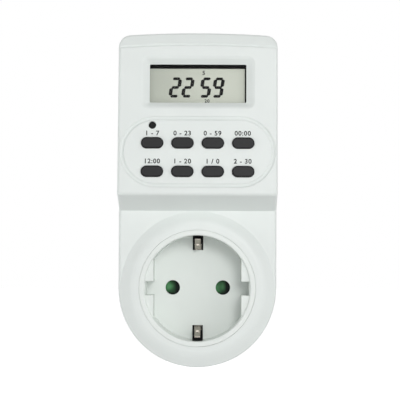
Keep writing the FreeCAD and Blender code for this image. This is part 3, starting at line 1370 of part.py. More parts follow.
def make_earth_parts():
    """One bent earth bracket with two springs, two side contacts and their rivets."""
    body = new_body("bracket_form")
    half = s.earth_strip_width / 2
    middle = crossbar_top + s.strip / 2
    for up in (-1, 1):
        points = [
            (earth_root * up, middle),
            (earth_root * up, recess_floor + s.earth_root_height),
            (earth_bow * up, recess_floor + s.earth_bow_height),
            (earth_tip * up, recess_floor + s.earth_tip_height),
        ]
        strip_chain(body, f"spring_{'low' if up < 0 else 'high'}", points, half)
    sketch = new_sketch(body, "bridge", crossbar_top)
    reach = earth_root + s.strip / 2
    rectangle(sketch, -half, half, -reach, reach)
    pad(body, sketch, s.strip, "bridge_bar")
    sketch = new_sketch(body, "rivet_holes", crossbar_top)
    for up in (-1, 1):
        circle(sketch, s.rivet_radius + s.fit_gap / 2, ZERO, s.rivet_place * up)
    pocket(body, sketch, "rivet_cut", s.strip, reverse=True)
    sketch = new_sketch(body, "catch_slots", role="XZ_Plane")
    slot_middle = recess_floor + (s.earth_bow_height + s.earth_tip_height) / 2
    slot_half = s.earth_slot_width / 2
    slot_rise = s.earth_slot_height / 2
    rectangle(sketch, -slot_half, slot_half, slot_middle - slot_rise, slot_middle + slot_rise)
    pocket(body, sketch, "slots_cut", earth_tip * 2 + CLEAR_OF_ALL, symmetric=True)
    keep(body, "earth_bracket")
    foot_bottom = crossbar_top - s.earth_contact_thickness
    rivets = []
    for up, name in ((1, "top"), (-1, "bottom")):
        contact = new_body(f"contact_{name}_form")
        sketch = new_sketch(contact, "profile", role="YZ_Plane")
        low = -s.plug_depth + s.edge_radius
        foot_in = s.rivet_place - s.earth_foot
        polygon(sketch, [
            (s.earth_groove_floor * up, low), (contact_foot * up, low),
            (contact_foot * up, crossbar_top), (foot_in * up, crossbar_top),
            (foot_in * up, foot_bottom), (s.earth_groove_floor * up, foot_bottom),
        ])
        pad(contact, sketch, s.earth_tongue_width, "tongue", symmetric=True)
        sketch = new_sketch(contact, "blade", role="YZ_Plane")
        y = sorted([s.earth_groove_floor * up, contact_foot * up], key=lambda size: size.value)
        rectangle(sketch, y[0], y[1], low, s.wall - s.fit_gap)
        pad(contact, sketch, s.earth_contact_width, "plate", symmetric=True)
        sketch = new_sketch(contact, "hole", crossbar_top)
        circle(sketch, s.rivet_radius + s.fit_gap / 2, ZERO, s.rivet_place * up)
        pocket(contact, sketch, "hole_cut", s.earth_contact_thickness)
        keep(contact, f"earth_contact_{name}")
        y = s.rivet_place * up
        top = crossbar_top + s.strip
        rivets.append(rod(f"rivet_{name}", s.rivet_radius, (foot_bottom, top), ZERO, y))
        head_span = (top, top + s.rivet_head_height)
        rivets.append(rod(f"rivet_{name}_head", s.rivet_head_radius, head_span, ZERO, y))
    keep(fuse("rivet_set", rivets), "earth_rivets")


def strip_chain(body, name, points, half):
    """Flat lengths of spring strip from point to point, with round bends."""
    thickness = s.strip
    for i, (start, end) in enumerate(zip(points, points[1:])):
        sketch = new_sketch(body, f"{name}_{i}", role="YZ_Plane")
        band(sketch, start, end, thickness / 2)
        pad(body, sketch, half * 2, f"{name}_run_{i}", symmetric=True)


def band(sketch, start, end, half):
    """A slot shape from one point to another, its ends round about the points."""
    along = FreeCAD.Vector(end[0].value - start[0].value, end[1].value - start[1].value, 0)
    angle = math.degrees(math.atan2(along.y, along.x))
    across = FreeCAD.Vector(-along.y, along.x, 0).normalize() * half.value
    p, q = vector(*start), vector(*end)
    low = sketch.addGeometry(Part.LineSegment(p - across, q - across), False)
    end_arc = arc(sketch, end, half, angle - 90, angle + 90)
    high = sketch.addGeometry(Part.LineSegment(q + across, p + across), False)
    start_arc = arc(sketch, start, half, angle + 90, angle + 270)
    join(sketch, "Tangent", low, 2, end_arc, 1)
    join(sketch, "Tangent", end_arc, 2, high, 1)
    join(sketch, "Tangent", high, 2, start_arc, 1)
    join(sketch, "Tangent", start_arc, 2, low, 1)
    hold_point(sketch, start_arc, 3, *start)
    hold_point(sketch, end_arc, 3, *end)
    hold(sketch, "Radius", start_arc, size=half)
    sketch.addConstraint(Sketcher.Constraint("Equal", start_arc, end_arc))


# Display
def make_display():
    view_top = view_up + s.view_height / 2
    view_bottom = view_up - s.view_height / 2
    half = view_width / 2
    over = s.pane_overlap
    keep(block("pane_form", (-half - over, half + over), (view_bottom - over, view_top + over),
               (pane_back, -s.wall), FACE), "display_window")
    holder_half = panel_half + holder_margin
    shell = block("holder_block", (-holder_half, holder_half), (holder_low, holder_high),
                  (board_front, pane_back), FACE)
    hidden = s.mask_hidden
    opening = block("holder_opening", (-half - hidden, half - s.mask_side),
                    (view_bottom - hidden, view_top - s.mask_top), (board_front, -s.wall), FACE)
    gap = s.fit_gap
    panel_front = pane_back - s.mask_thickness
    seat = block("holder_seat", (-panel_half - gap, panel_half + gap), (panel_low - gap, panel_high + gap),
                 (board_front - OVERLAP, panel_front), FACE)
    keep(cut("holder_form", shell, [opening, seat]), "display_holder")
    panel_back = panel_front - s.panel_thickness
    middle = panel_front - s.panel_thickness / 2
    front_glass = block("front_glass", (-panel_half, panel_half), (panel_low, panel_high),
                        (middle, panel_front), FACE)
    ledge_top = panel_low + s.panel_ledge
    back_glass = block("back_glass", (-panel_half, panel_half), (ledge_top, panel_high),
                       (panel_back, middle), FACE)
    keep(fuse("panel_form", [front_glass, back_glass]), "display_panel")
    connector_half = panel_half - s.connector_inset
    keep(block("connector_form", (-connector_half, connector_half), (panel_low, ledge_top - gap * 2),
               (board_front, middle), FACE), "display_connector")


# Keys
KEY_NAMES = ["week", "hour", "minute", "recall", "clock", "timer", "mode", "random"]


def make_key(name, x, y):
    body = new_body(f"{name}_form", FACE, x, y, ZERO)
    flange_front = -s.wall - s.fit_gap
    flange_back = flange_front - s.key_flange_thickness
    sketch = new_sketch(body, "stem", flange_front)
    stadium(sketch, key_length, s.key_width)
    pad(body, sketch, s.key_proud - flange_front, "stem_block")
    fillet(body, s.key_rounding, "top_edge", lambda e: is_level(e, s.key_proud))
    sketch = new_sketch(body, "flange", flange_back)
    wide = s.key_flange * 2
    stadium(sketch, key_length + wide, s.key_width + wide)
    pad(body, sketch, s.key_flange_thickness, "flange_plate")
    sketch = new_sketch(body, "post", post_end)
    circle(sketch, s.key_post_radius)
    pad(body, sketch, flange_back - post_end, "contact_post")
    keep(body, name)


post_end = board_front + s.key_travel + s.fit_gap * 2
collar_top = -s.wall - s.fit_gap - s.key_flange_thickness - s.key_travel - s.fit_gap


def make_keypad():
    for name, (x, y) in zip(KEY_NAMES, key_places()):
        make_key(f"key_{name}", x, y)
    reset = new_body("reset_form", FACE, -reset_side, reset_up, ZERO)
    flange_front = -s.wall - s.fit_gap
    flange_back = flange_front - s.key_flange_thickness
    sketch = new_sketch(reset, "stem", flange_front)
    circle(sketch, s.reset_radius)
    pad(reset, sketch, -s.reset_sunk - flange_front, "stem_block")
    sketch = new_sketch(reset, "flange", flange_back)
    circle(sketch, s.reset_radius + s.key_flange)
    pad(reset, sketch, s.key_flange_thickness, "flange_plate")
    sketch = new_sketch(reset, "post", post_end)
    circle(sketch, s.reset_radius - s.reset_post_step)
    pad(reset, sketch, flange_back - post_end, "contact_post")
    keep(reset, "reset_button")

    mat = new_body("mat_form", FACE)
    half = mat_half
    sheet_front = board_front + s.mat_thickness
    sketch = new_sketch(mat, "sheet", board_front)
    rectangle(sketch, -half, half, mat_low, mat_high)
    pad(mat, sketch, s.mat_thickness, "sheet_block")
    sketch = new_sketch(mat, "rim", sheet_front)
    rim = s.mat_rim
    rectangle(sketch, -half, half, mat_low, mat_high)
    rectangle(sketch, -half + rim, half - rim, mat_low + rim, mat_high - rim)
    pad(mat, sketch, -s.wall - sheet_front, "rim_wall")
    collar = s.key_post_radius + s.fit_gap * 3
    sketch = new_sketch(mat, "collars", sheet_front)
    for x, y in key_places():
        circle(sketch, collar + s.collar_wall, x, y)
    pad(mat, sketch, collar_top - sheet_front, "collar_rings")
    sketch = new_sketch(mat, "reset_collar", sheet_front)
    reset_bore = s.reset_radius + s.fit_gap
    circle(sketch, reset_bore + s.collar_wall / 2, -reset_side, reset_up)
    pad(mat, sketch, collar_top - sheet_front, "reset_ring")
    sketch = new_sketch(mat, "wells", -s.wall)
    for x, y in key_places():
        circle(sketch, collar, x, y)
    circle(sketch, reset_bore, -reset_side, reset_up)
    pocket(mat, sketch, "wells_cut")
    sketch = new_sketch(mat, "notches", -s.wall)
    for side in (-1, 1):
        circle(sketch, s.board_boss_radius + s.fit_gap * 2, board_boss_side * side, board_boss_low)
    pocket(mat, sketch, "notches_cut")
    keep(mat, "keypad_mat")


# Circuit boards
def screw_set(label, places, seat, frame, facing):
    """Board screws whose heads rest on the seat plane and point away along facing."""
    pieces = []
    head = s.small_screw_height * facing
    shank = -s.small_screw_length * facing
    for i, (x, y) in enumerate(places):
        spans = [sorted([seat, seat + reach], key=lambda size: size.value) for reach in (head, shank)]
        pieces.append(rod(f"{label}_head_{i}", s.small_screw_head, spans[0], x, y, frame))
        pieces.append(rod(f"{label}_shank_{i}", s.small_screw_radius, spans[1], x, y, frame))
    keep(fuse(f"{label}_set", pieces), label)


def drilled_board(name, x, y, z, places, frame):
    sheet_solid = block(f"{name}_sheet", x, y, z, frame)
    drill = s.small_screw_radius + s.fit_gap
    low, high = z[0] - OVERLAP, z[1] + OVERLAP
    holes = [rod(f"{name}_hole_{i}", drill, (low, high), px, py, frame)
             for i, (px, py) in enumerate(places)]
    keep(cut(f"{name}_form", sheet_solid, holes), name)


def make_control_board():
    drilled_board("control_board", (-board_half, board_half), (board_low, board_high),
                  (board_back, board_front), board_screw_places(), FACE)
    screw_set("control_board_screws", board_screw_places(), board_back, FACE, -1)
    make_processor()
    crystal_side = s.blob_side + s.blob_radius + s.crystal_gap + s.crystal_radius
    crystal_back = board_back - s.crystal_radius
    crystal_up = board_low + s.blob_up + s.crystal_lift
    crystal = new_body("crystal_form", FACE, crystal_side, crystal_up, crystal_back)
    sketch = new_sketch(crystal, "section", role="XZ_Plane")
    circle(sketch, s.crystal_radius)
    pad(crystal, sketch, s.crystal_length, "can", symmetric=True)
    keep(crystal, "quartz_crystal")
    battery = rod("battery_form", s.battery_radius, (board_back - s.battery_height, board_back),
                  s.battery_inset - board_half, battery_up, FACE)
    keep(battery, "backup_battery")


def make_processor():
    """The domed blob of resin over the bare chip."""
    chip = new_body("chip_form", FACE, s.blob_side, board_low + s.blob_up, board_back)
    sketch = new_sketch(chip, "dome", role="XZ_Plane")
    rise, reach = s.blob_height, s.blob_radius
    bulge = (reach * reach + rise * rise) / (rise * 2)
    radius, centre = bulge.value, bulge.value - rise.value
    bend = math.degrees(math.asin(reach.value / radius))
    cap = arc(sketch, (ZERO, centre), bulge, 270, 270 + bend)
    top = line(sketch, (reach, ZERO), (ZERO, ZERO))
    axis_side = line(sketch, (ZERO, ZERO), (ZERO, -rise))
    join(sketch, "Coincident", cap, 2, top, 1)
    join(sketch, "Coincident", top, 2, axis_side, 1)
    join(sketch, "Coincident", axis_side, 2, cap, 1)
    hold_point(sketch, top, 1, reach, ZERO)
    hold_point(sketch, top, 2, ZERO, ZERO)
    hold_point(sketch, axis_side, 2, ZERO, -rise)
    hold(sketch, "Radius", cap, size=bulge)
    turn_feature(chip, "Revolution", sketch, "blob", (axis_of(chip, "Z_Axis"), [""]))
    keep(chip, "processor")


def make_power_board():
    drilled_board("power_board", (-power_half, power_half), (power_low, power_high),
                  (power_back, power_front), power_post_places(), WALL)
    screw_set("power_board_screws", power_post_places(), power_front, WALL, 1)
    relay_right = -s.relay_side
    on_board("relay", (relay_right - s.relay_width, relay_right),
             (relay_high - s.relay_length, relay_high), s.relay_height)
    film_low = power_low + s.capacitor_start
    film_high = film_low + s.capacitor_length
    on_board("mains_capacitor", (relay_right + s.capacitor_room, power_half - s.capacitor_inset),
             (film_low, film_high), s.capacitor_height)
    resistor_left = relay_right + s.resistor_room
    resistor_high = film_low - s.resistor_gap
    on_board("power_resistor", (resistor_left, resistor_left + s.resistor_length),
             (resistor_high - s.resistor_size, resistor_high), s.resistor_size)
    large_up = film_high + s.can_gap + s.large_can_radius
    cans = [
        can("large_can", s.large_can_radius, s.large_can_height, power_half - s.can_inset, large_up),
        can("small_can", s.small_can_radius, s.small_can_height,
            relay_right + s.small_can_room + s.small_can_radius, large_up + s.can_step),
    ]
    keep(fuse("can_pair", cans), "smoothing_capacitors")
    disc_up = film_low - s.varistor_gap - s.varistor_thickness / 2
    disc_side = power_half - s.varistor_inset
    disc = new_body("varistor_form", WALL, disc_side, disc_up, power_front + s.varistor_radius)
    sketch = new_sketch(disc, "section", role="XZ_Plane")
    circle(sketch, s.varistor_radius)
    pad(disc, sketch, s.varistor_thickness, "coin", symmetric=True)
    keep(disc, "varistor")
    diodes = []
    diode_low = film_high + s.diode_gap
    for i in range(DIODES):
        x = relay_right + s.diode_room + s.diode_spacing * i
        diodes.append(block(f"diode_{i}", (x, x + s.diode_size), (diode_low, diode_low + s.diode_length),
                            (power_front, power_front + s.diode_size)))
    keep(doc_group("diode_set", diodes), "rectifier_diodes")
    make_board_link(large_up + s.large_can_radius + s.link_gap + s.link_strip / 2)


DIODES = 3
LINK_PINS = 6


def on_board(label, x, y, height):
    """A box-shaped component on the power board."""
    keep(block(f"{label}_form", x, y, (power_front, power_front + height)), label)


def can(name, radius, height, x, y):
    return rod(name, radius, (power_front, power_front + height), x, y)


def doc_group(name, pieces):
    """Loose solids kept together as one compound."""
    item = doc.addObject("Part::Compound", name)
    item.Links = pieces
    return item


def make_board_link(row_up):
    """A row of pins in a plastic strip, from the power board to the control board."""
    lean = (row_up - step_up) * tangent(s.face_tilt)
    back = step_height - lean + board_back / cosine(s.face_tilt) - s.fit_gap / 2
    strip_low = s.link_side - s.link_spacing / 2
    strip_y = (row_up - s.link_strip / 2, row_up + s.link_strip / 2)
    pieces = [block("link_strip", (strip_low, strip_low + s.link_spacing * LINK_PINS), strip_y,
                    (power_front, power_front + s.link_strip))]
    half = s.link_pin / 2
    for i in range(LINK_PINS):
        x = s.link_side + s.link_spacing * i
        pieces.append(block(f"link_pin_{i}", (x - half, x + half), (row_up - half, row_up + half),
                            (power_front, back)))
    keep(fuse("link_form", pieces), "board_link")


# Leads and screws
def make_lead(name, x, y, start):
    """A lead from a contact, up behind the socket and on to the power board."""
    body = new_body(f"{name}_form", WALL, x)
    board_up = power_low + s.lead_end
    radius = s.lead_bend
    level = lead_height
    path = new_sketch(body, "path", role="YZ_Plane")
    first = line(path, (y, start), (y, level - radius))
    bend = arc(path, (y + radius, level - radius), radius, 90, 180)
    run = line(path, (y + radius, level), (board_up - radius, level))
    rise = arc(path, (board_up - radius, level + radius), radius, 270, 360)
    last = line(path, (board_up, level + radius), (board_up, power_back))
    for upright in (first, last):
        path.addConstraint(Sketcher.Constraint("Vertical", upright))
    path.addConstraint(Sketcher.Constraint("Horizontal", run))
    join(path, "Tangent", first, 2, bend, 2)
    join(path, "Tangent", bend, 1, run, 1)
    join(path, "Tangent", run, 2, rise, 1)
    join(path, "Tangent", rise, 2, last, 1)
    for curve in (bend, rise):
        hold(path, "Radius", curve, size=radius)
    hold_point(path, first, 1, y, start)
    hold(path, "DistanceY", -1, 1, run, 1, size=level)
    hold_point(path, last, 2, board_up, power_back)
    section = new_sketch(body, "section", start)
    circle(section, s.lead_radius, ZERO, y)
    pipe(body, section, path, "tube")
    keep(body, name)


def make_leads():
    plate_top = plate_bottom + s.strip
    make_lead("live_lead", -pin_side, s.terminal_reach, plate_top)
    make_lead("neutral_lead", pin_side, s.terminal_reach, plate_top)
    make_lead("switched_lead", switched_side, ZERO, -s.switched_start)


def make_housing_screws():
    pieces = []
    seat = s.screw_head_depth
    for i, (x, y) in enumerate(screw_places()):
        head_span = (seat - s.screw_head_height, seat)
        pieces.append(rod(f"housing_head_{i}", s.screw_head_radius, head_span, x, y))
        pieces.append(rod(f"housing_shank_{i}", s.screw_radius, (seat, seat + s.screw_length), x, y))
    screws = fuse("housing_screw_form", pieces)
    slots = []
    half = s.screw_slot / 2
    reach = s.screw_head_radius - s.screw_slot
    low = seat - s.screw_head_height
    for i, (x, y) in enumerate(screw_places()):
        span = (low - OVERLAP, low + s.screw_slot)
        slots.append(block(f"slot_across_{i}", (x - reach, x + reach), (y - half, y + half), span))
        slots.append(block(f"slot_along_{i}", (x - half, x + half), (y - reach, y + reach), span))
    keep(cut("housing_screw_set", screws, slots), "housing_screws")


make_front_housing()
make_rear_cover()
make_socket_insert()
make_shutter()
make_retainer()
make_shutter_spring()
make_clip("live_clip", -1, legs=False)
make_clip("neutral_clip", 1, legs=True)
make_plug_pins()
make_carrier()
make_earth_parts()
make_display()
make_keypad()
make_control_board()
make_power_board()
make_leads()
make_housing_screws()
doc.recompute()

failed = [item.Name for item in doc.Objects if {"Invalid", "Error"} & set(item.State)]
if failed:
    raise ValueError(f"failed objects: {failed}")
for node in NODES:
    if node.Shape.isNull() or not node.Shape.isValid() or node.Shape.Volume <= 0:
        raise ValueError(f"{node.Label} has no valid solid")

os.makedirs("parts", exist_ok=True)
for node in NODES:
    node.Shape.exportStep(f"parts/{node.Label}.step")
    print(f"{node.Label}: {len(node.Shape.Solids)} solids, {node.Shape.Volume:.1f} mm3")
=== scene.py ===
import math

import bpy
from mathutils import Matrix, Vector


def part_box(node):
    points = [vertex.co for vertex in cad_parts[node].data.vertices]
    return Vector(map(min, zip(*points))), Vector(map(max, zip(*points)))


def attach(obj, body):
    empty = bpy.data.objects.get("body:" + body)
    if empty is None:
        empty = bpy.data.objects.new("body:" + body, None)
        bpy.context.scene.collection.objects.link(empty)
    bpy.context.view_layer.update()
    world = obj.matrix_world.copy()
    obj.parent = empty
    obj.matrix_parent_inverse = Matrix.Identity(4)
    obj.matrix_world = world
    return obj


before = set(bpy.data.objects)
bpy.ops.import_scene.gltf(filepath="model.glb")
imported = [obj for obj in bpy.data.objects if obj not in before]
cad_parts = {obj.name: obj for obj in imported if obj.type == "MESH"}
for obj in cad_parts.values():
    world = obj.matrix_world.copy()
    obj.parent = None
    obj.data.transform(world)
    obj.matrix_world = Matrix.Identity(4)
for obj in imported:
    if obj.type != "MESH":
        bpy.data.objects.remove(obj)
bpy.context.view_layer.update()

MM = 0.001

# The control face: x to the right, y up the face, z towards the user
FACE_TILT = math.radians(4.7)
FACE_FOOT = Vector((0, -56.0, 34.15)) * MM
FACE = Matrix((
    (1, 0, 0, FACE_FOOT.x),
    (0, math.sin(FACE_TILT), -math.cos(FACE_TILT), FACE_FOOT.y),
    (0, math.cos(FACE_TILT), math.sin(FACE_TILT), FACE_FOOT.z),
    (0, 0, 0, 1),
))

# Where prints lie along the face's z, in millimetres: just above the display's glass and above the face
GLASS = -3.69
PRINT_LIFT = 0.004

# Width over which one colour of a finish turns into the next
SOFT_EDGE = 0.05 * MM
# Distance between the socket's pin holes
PIN_PITCH = 19 * MM


# Finishes
def screen(red, green, blue):
    """A colour as the screen shows it, turned into what a shader takes."""
    values = []
    for part in (red, green, blue):
        part /= 255
        values.append(part / 12.92 if part <= 0.04045 else ((part + 0.055) / 1.055) ** 2.4)
    return (*values, 1.0)


class Finish:
    """A material and the few nodes that most finishes share."""

    def __init__(self, name):
        self.material = bpy.data.materials.new(name)
        self.material.use_nodes = True
        self.nodes = self.material.node_tree.nodes
        self.links = self.material.node_tree.links
        self.shader = self.nodes["Principled BSDF"]
        self.place = self.nodes.new("ShaderNodeTexCoord").outputs["Object"]

    def join(self, source, target):
        self.links.new(source, target)

    def noise(self, size, detail=2.0, stretch=(1, 1, 1)):
        """Even noise whose spots are about the given size in millimetres."""
        mapping = self.nodes.new("ShaderNodeMapping")
        mapping.inputs["Scale"].default_value = [part / (size * MM) for part in stretch]
        self.join(self.place, mapping.inputs["Vector"])
        noise = self.nodes.new("ShaderNodeTexNoise")
        noise.inputs["Scale"].default_value = 1.0
        noise.inputs["Detail"].default_value = detail
        self.join(mapping.outputs["Vector"], noise.inputs["Vector"])
        return noise.outputs["Fac"]

    def spread(self, value, low, high, start=0.3, end=0.7):
        """The value brought from start..end to low..high."""
        node = self.nodes.new("ShaderNodeMapRange")
        limits = {"From Min": start, "From Max": end, "To Min": low, "To Max": high}
        for socket, number in limits.items():
            node.inputs[socket].default_value = number
        self.join(value, node.inputs["Value"])
        return node.outputs["Result"]

    def blend(self, value, first, second):
        """Two colours or colour outputs mixed by a value."""
        node = self.nodes.new("ShaderNodeMix")
        node.data_type = "RGBA"
        self.join(value, node.inputs["Factor"])
        for socket, colour in ((node.inputs[6], first), (node.inputs[7], second)):
            if isinstance(colour, tuple):
                socket.default_value = colour
            else:
                self.join(colour, socket)
        return node.outputs[2]

    def math(self, operation, first, second=0.0):
        node = self.nodes.new("ShaderNodeMath")
        node.operation = operation
        for socket, value in zip(node.inputs, (first, second)):
            if isinstance(value, bpy.types.NodeSocket):
                self.join(value, socket)
            else:
                socket.default_value = value
        return node.outputs["Value"]

    def axis(self, name):
        """The place along X, Y or Z."""
        split = self.nodes.new("ShaderNodeSeparateXYZ")
        self.join(self.place, split.inputs["Vector"])
        return split.outputs[name]

    def above(self, value, edge):
        """0 below the edge and 1 above it."""
        return self.spread(value, 0.0, 1.0, edge - SOFT_EDGE, edge + SOFT_EDGE)

    def below(self, value, edge):
        """1 below the edge and 0 above it."""
        return self.spread(value, 1.0, 0.0, edge - SOFT_EDGE, edge + SOFT_EDGE)

    def colour(self, output):
        self.join(output, self.shader.inputs["Base Color"])

    def roughness(self, output):
        self.join(output, self.shader.inputs["Roughness"])

    def bump(self, height, depth):
        """Relief of the given depth in millimetres."""
        node = self.nodes.new("ShaderNodeBump")
        node.inputs["Strength"].default_value = 1.0
        node.inputs["Distance"].default_value = depth * MM
        self.join(height, node.inputs["Height"])
        self.join(node.outputs["Normal"], self.shader.inputs["Normal"])

    def set(self, **sockets):
        """Constants of the shader, with _ for a space in a socket's name."""
        for name, number in sockets.items():
            self.shader.inputs[name.replace("_", " ")].default_value = number


def tint(colour, factor):
    """A colour made darker or lighter."""
    return (*[part * factor for part in colour[:3]], 1.0)


def moulded(name, colour, rough=0.42, grain=0.3, depth=0.012, gloss=0.5):
    """Moulded plastic with a fine spark-eroded grain and faint flow marks."""
    finish = Finish(name)
    flow = finish.noise(14, detail=3)
    finish.colour(finish.blend(finish.spread(flow, 0, 1), tint(colour, 0.985), tint(colour, 1.012)))
    fine = finish.noise(grain, detail=2)
    finish.roughness(finish.spread(fine, rough - 0.05, rough + 0.05))
    finish.bump(fine, depth)
    finish.set(Specular_IOR_Level=gloss)
    return finish


def metal(name, colour, rough=0.25, drawn=(1, 1, 12)):
    """Bare or plated metal, faintly drawn along one way."""
    finish = Finish(name)
    streaks = finish.noise(0.5, detail=3, stretch=drawn)
    finish.colour(finish.blend(finish.spread(streaks, 0, 1), tint(colour, 0.9), colour))
    finish.roughness(finish.spread(streaks, rough - 0.06, rough + 0.1))
    finish.bump(streaks, 0.004)
    finish.set(Metallic=1.0)
    return finish


def banded(name, base, band, axis_name, edges, rough=0.35):
    """A sleeve or case in one colour with a band of another between two places."""
    finish = Finish(name)
    along = finish.axis(axis_name)
    inside = finish.math("MULTIPLY", finish.above(along, edges[0]), finish.below(along, edges[1]))
    mottle = finish.noise(1.5, detail=3)
    plain = finish.blend(finish.spread(mottle, 0, 1), tint(base, 0.93), base)
    finish.colour(finish.blend(inside, plain, band))
    finish.roughness(finish.spread(mottle, rough - 0.05, rough + 0.08))
    finish.bump(mottle, 0.01)
    return finish


def dress(finish, *nodes):
    """Gives a finish to CAD nodes."""
    for node in nodes:
        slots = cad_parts[node].material_slots
        if slots:
            for slot in slots:
                slot.material = finish.material
        else:
            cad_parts[node].data.materials.append(finish.material)


dress(moulded("shell_white", screen(231, 236, 233)), "front_housing", "rear_cover")
dress(moulded("socket_white", screen(232, 237, 233), rough=0.36, grain=0.4, depth=0.008), "socket_insert")
dress(moulded("key_grey", screen(11, 12, 14), rough=0.4, grain=0.22, depth=0.02, gloss=0.22),
      *[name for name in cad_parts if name.startswith("key_")])
dress(moulded("clear_button_black", screen(12, 13, 13), rough=0.55, gloss=0.18), "reset_button")
dress(moulded("carrier_black", screen(34, 34, 36), rough=0.5), "contact_carrier", "shutter_retainer")
dress(moulded("holder_black", screen(3, 3, 3), rough=0.6, gloss=0.1), "display_holder")
dress(moulded("mat_rubber", screen(92, 94, 98), rough=0.7, grain=0.6), "keypad_mat")
dress(metal("plug_nickel", (0.78, 0.76, 0.72, 1), rough=0.24, drawn=(3, 1, 3)), "live_pin", "neutral_pin")
dress(metal("earth_nickel", (0.54, 0.50, 0.44, 1), rough=0.45),
      "earth_bracket", "earth_contact_top", "earth_contact_bottom")
dress(metal("contact_brass", (0.80, 0.62, 0.32, 1)), "live_clip", "neutral_clip", "live_terminal")
dress(metal("rivet_steel", (0.62, 0.61, 0.60, 1), rough=0.35), "earth_rivets", "quartz_crystal")
dress(metal("spring_wire", (0.55, 0.55, 0.56, 1), rough=0.3, drawn=(6, 1, 1)), "shutter_spring")
dress(metal("screw_zinc", (0.66, 0.67, 0.70, 1), rough=0.34, drawn=(1, 8, 1)),
      "retainer_screws", "control_board_screws", "power_board_screws", "housing_screws")


def clear_pane():
    """Polished clear acrylic, with the faintest haze."""
    finish = Finish("display_pane")
    haze = finish.noise(5, detail=4)
    finish.roughness(finish.spread(haze, 0.03, 0.07))
    finish.shader.inputs["Base Color"].default_value = screen(14, 15, 14)
    finish.set(Alpha=0.06, IOR=1.49, Specular_IOR_Level=0.5)
    finish.material.blend_method = "BLEND"
    return finish


def liquid_crystal():
    """Grey-green reflective glass, with painted shade that darkens it towards its left side."""
    finish = Finish("display_glass")
    # Painted shade: the glass is painted darker towards its left side, standing in for the shading on the
    # display
    painted_shade_across = finish.spread(finish.axis("X"), 0.0, 1.0, -20 * MM, 2 * MM)
    cloud = finish.noise(9, detail=2)
    # The left colours are the painted-shade copy, the right colours the lighter tone
    left = finish.blend(finish.spread(cloud, 0, 1), screen(198, 204, 190), screen(202, 208, 194))
    right = finish.blend(finish.spread(cloud, 0, 1), screen(222, 227, 212), screen(226, 231, 216))
    finish.colour(finish.blend(painted_shade_across, left, right))
    fine = finish.noise(0.12, detail=1)
    finish.roughness(finish.spread(fine, 0.32, 0.42))
    finish.bump(fine, 0.003)
    return finish


def shutter_plastic():
    """Green plastic with a painted highlight behind each pin hole and painted shade around it."""
    finish = Finish("shutter_green")

    def wave(axis_name, shift):
        """1 at one place in each half of the pitch, falling to 0 on both sides."""
        turn = finish.math("MULTIPLY", finish.axis(axis_name), 2 * math.pi / (PIN_PITCH / 2))
        height = finish.math("COSINE", finish.math("ADD", turn, math.radians(shift)))
        return finish.spread(height, 0, 1, -0.3, 1.0)

    # Painted light: a lit spot behind each pin hole, standing in for the light on the shutter's ramps
    painted_light_patch = finish.math("MULTIPLY", wave("X", 60), wave("Z", -12))
    cloud = finish.spread(finish.noise(2.4, detail=0), 0.55, 1.0)
    light = finish.math("MULTIPLY", painted_light_patch, cloud)
    # The near-black green is painted shade and the pale green is painted light
    finish.colour(finish.blend(light, screen(2, 14, 9), screen(92, 158, 104)))
    fine = finish.noise(0.3, detail=2)
    finish.roughness(finish.spread(fine, 0.35, 0.45))
    finish.bump(fine, 0.012)
    finish.set(Specular_IOR_Level=0.1)
    return finish


dress(clear_pane(), "display_window")
dress(liquid_crystal(), "display_panel")
dress(shutter_plastic(), "shutter")


def circuit_board(name, base, track, size):
    """Solder resist over copper tracks that run in straight lengths."""
    finish = Finish(name)
    mapping = finish.nodes.new("ShaderNodeMapping")
    mapping.inputs["Scale"].default_value = (1 / MM, 1 / MM, 1 / MM)
    mapping.inputs["Rotation"].default_value = (math.radians(90), 0, 0)
    finish.join(finish.place, mapping.inputs["Vector"])
    tracks = finish.nodes.new("ShaderNodeTexBrick")
    tracks.inputs["Scale"].default_value = 1 / size
    tracks.inputs["Mortar Size"].default_value = 0.06
    tracks.inputs["Color1"].default_value = (0, 0, 0, 1)
    tracks.inputs["Color2"].default_value = (0.25, 0.25, 0.25, 1)
    tracks.inputs["Mortar"].default_value = (1, 1, 1, 1)
    finish.join(mapping.outputs["Vector"], tracks.inputs["Vector"])
    finish.colour(finish.blend(tracks.outputs["Color"], base, track))
    weave = finish.noise(0.4, detail=2)
    finish.roughness(finish.spread(weave, 0.3, 0.45))
    finish.bump(tracks.outputs["Color"], 0.035)
    return finish


dress(circuit_board("control_board_green", screen(24, 84, 52), screen(62, 132, 84), 3.2), "control_board")
dress(circuit_board("power_board_brown", screen(150, 118, 62), screen(176, 142, 82), 6.0), "power_board")


def front_of(node):
    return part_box(node)[0].y


def tipped(name, node, sleeve, cap, depth, rough=0.35):
    """A can with a sleeve whose bare end looks to the front."""
    in_front = 1.0
    edge = front_of(node) + depth * MM
    return banded(name, sleeve, cap, "Y", (edge - in_front, edge), rough)


dress(moulded("relay_blue", screen(38, 74, 128), rough=0.35), "relay")
dress(moulded("film_capacitor_yellow", screen(214, 176, 64), rough=0.38), "mains_capacitor")
dress(banded("resistor_ceramic", screen(212, 204, 186), screen(60, 52, 48), "X", (2.6 * MM, 3.6 * MM)),
      "power_resistor")
dress(tipped("can_sleeve", "smoothing_capacitors", screen(36, 40, 52), screen(188, 190, 192), 0.5),
      "smoothing_capacitors")
dress(moulded("varistor_blue", screen(44, 92, 150), rough=0.28, grain=2.5, depth=0.05), "varistor")
diode_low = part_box("rectifier_diodes")[0].z
dress(banded("diode_black", screen(30, 30, 32), screen(196, 197, 200), "Z",
             (diode_low + 0.6 * MM, diode_low + 1.5 * MM)), "rectifier_diodes")
dress(moulded("chip_resin", screen(20, 20, 22), rough=0.3, grain=1.8, depth=0.06), "processor")
dress(tipped("battery_sleeve", "backup_battery", screen(46, 128, 86), screen(176, 178, 180), 0.3),
      "backup_battery")
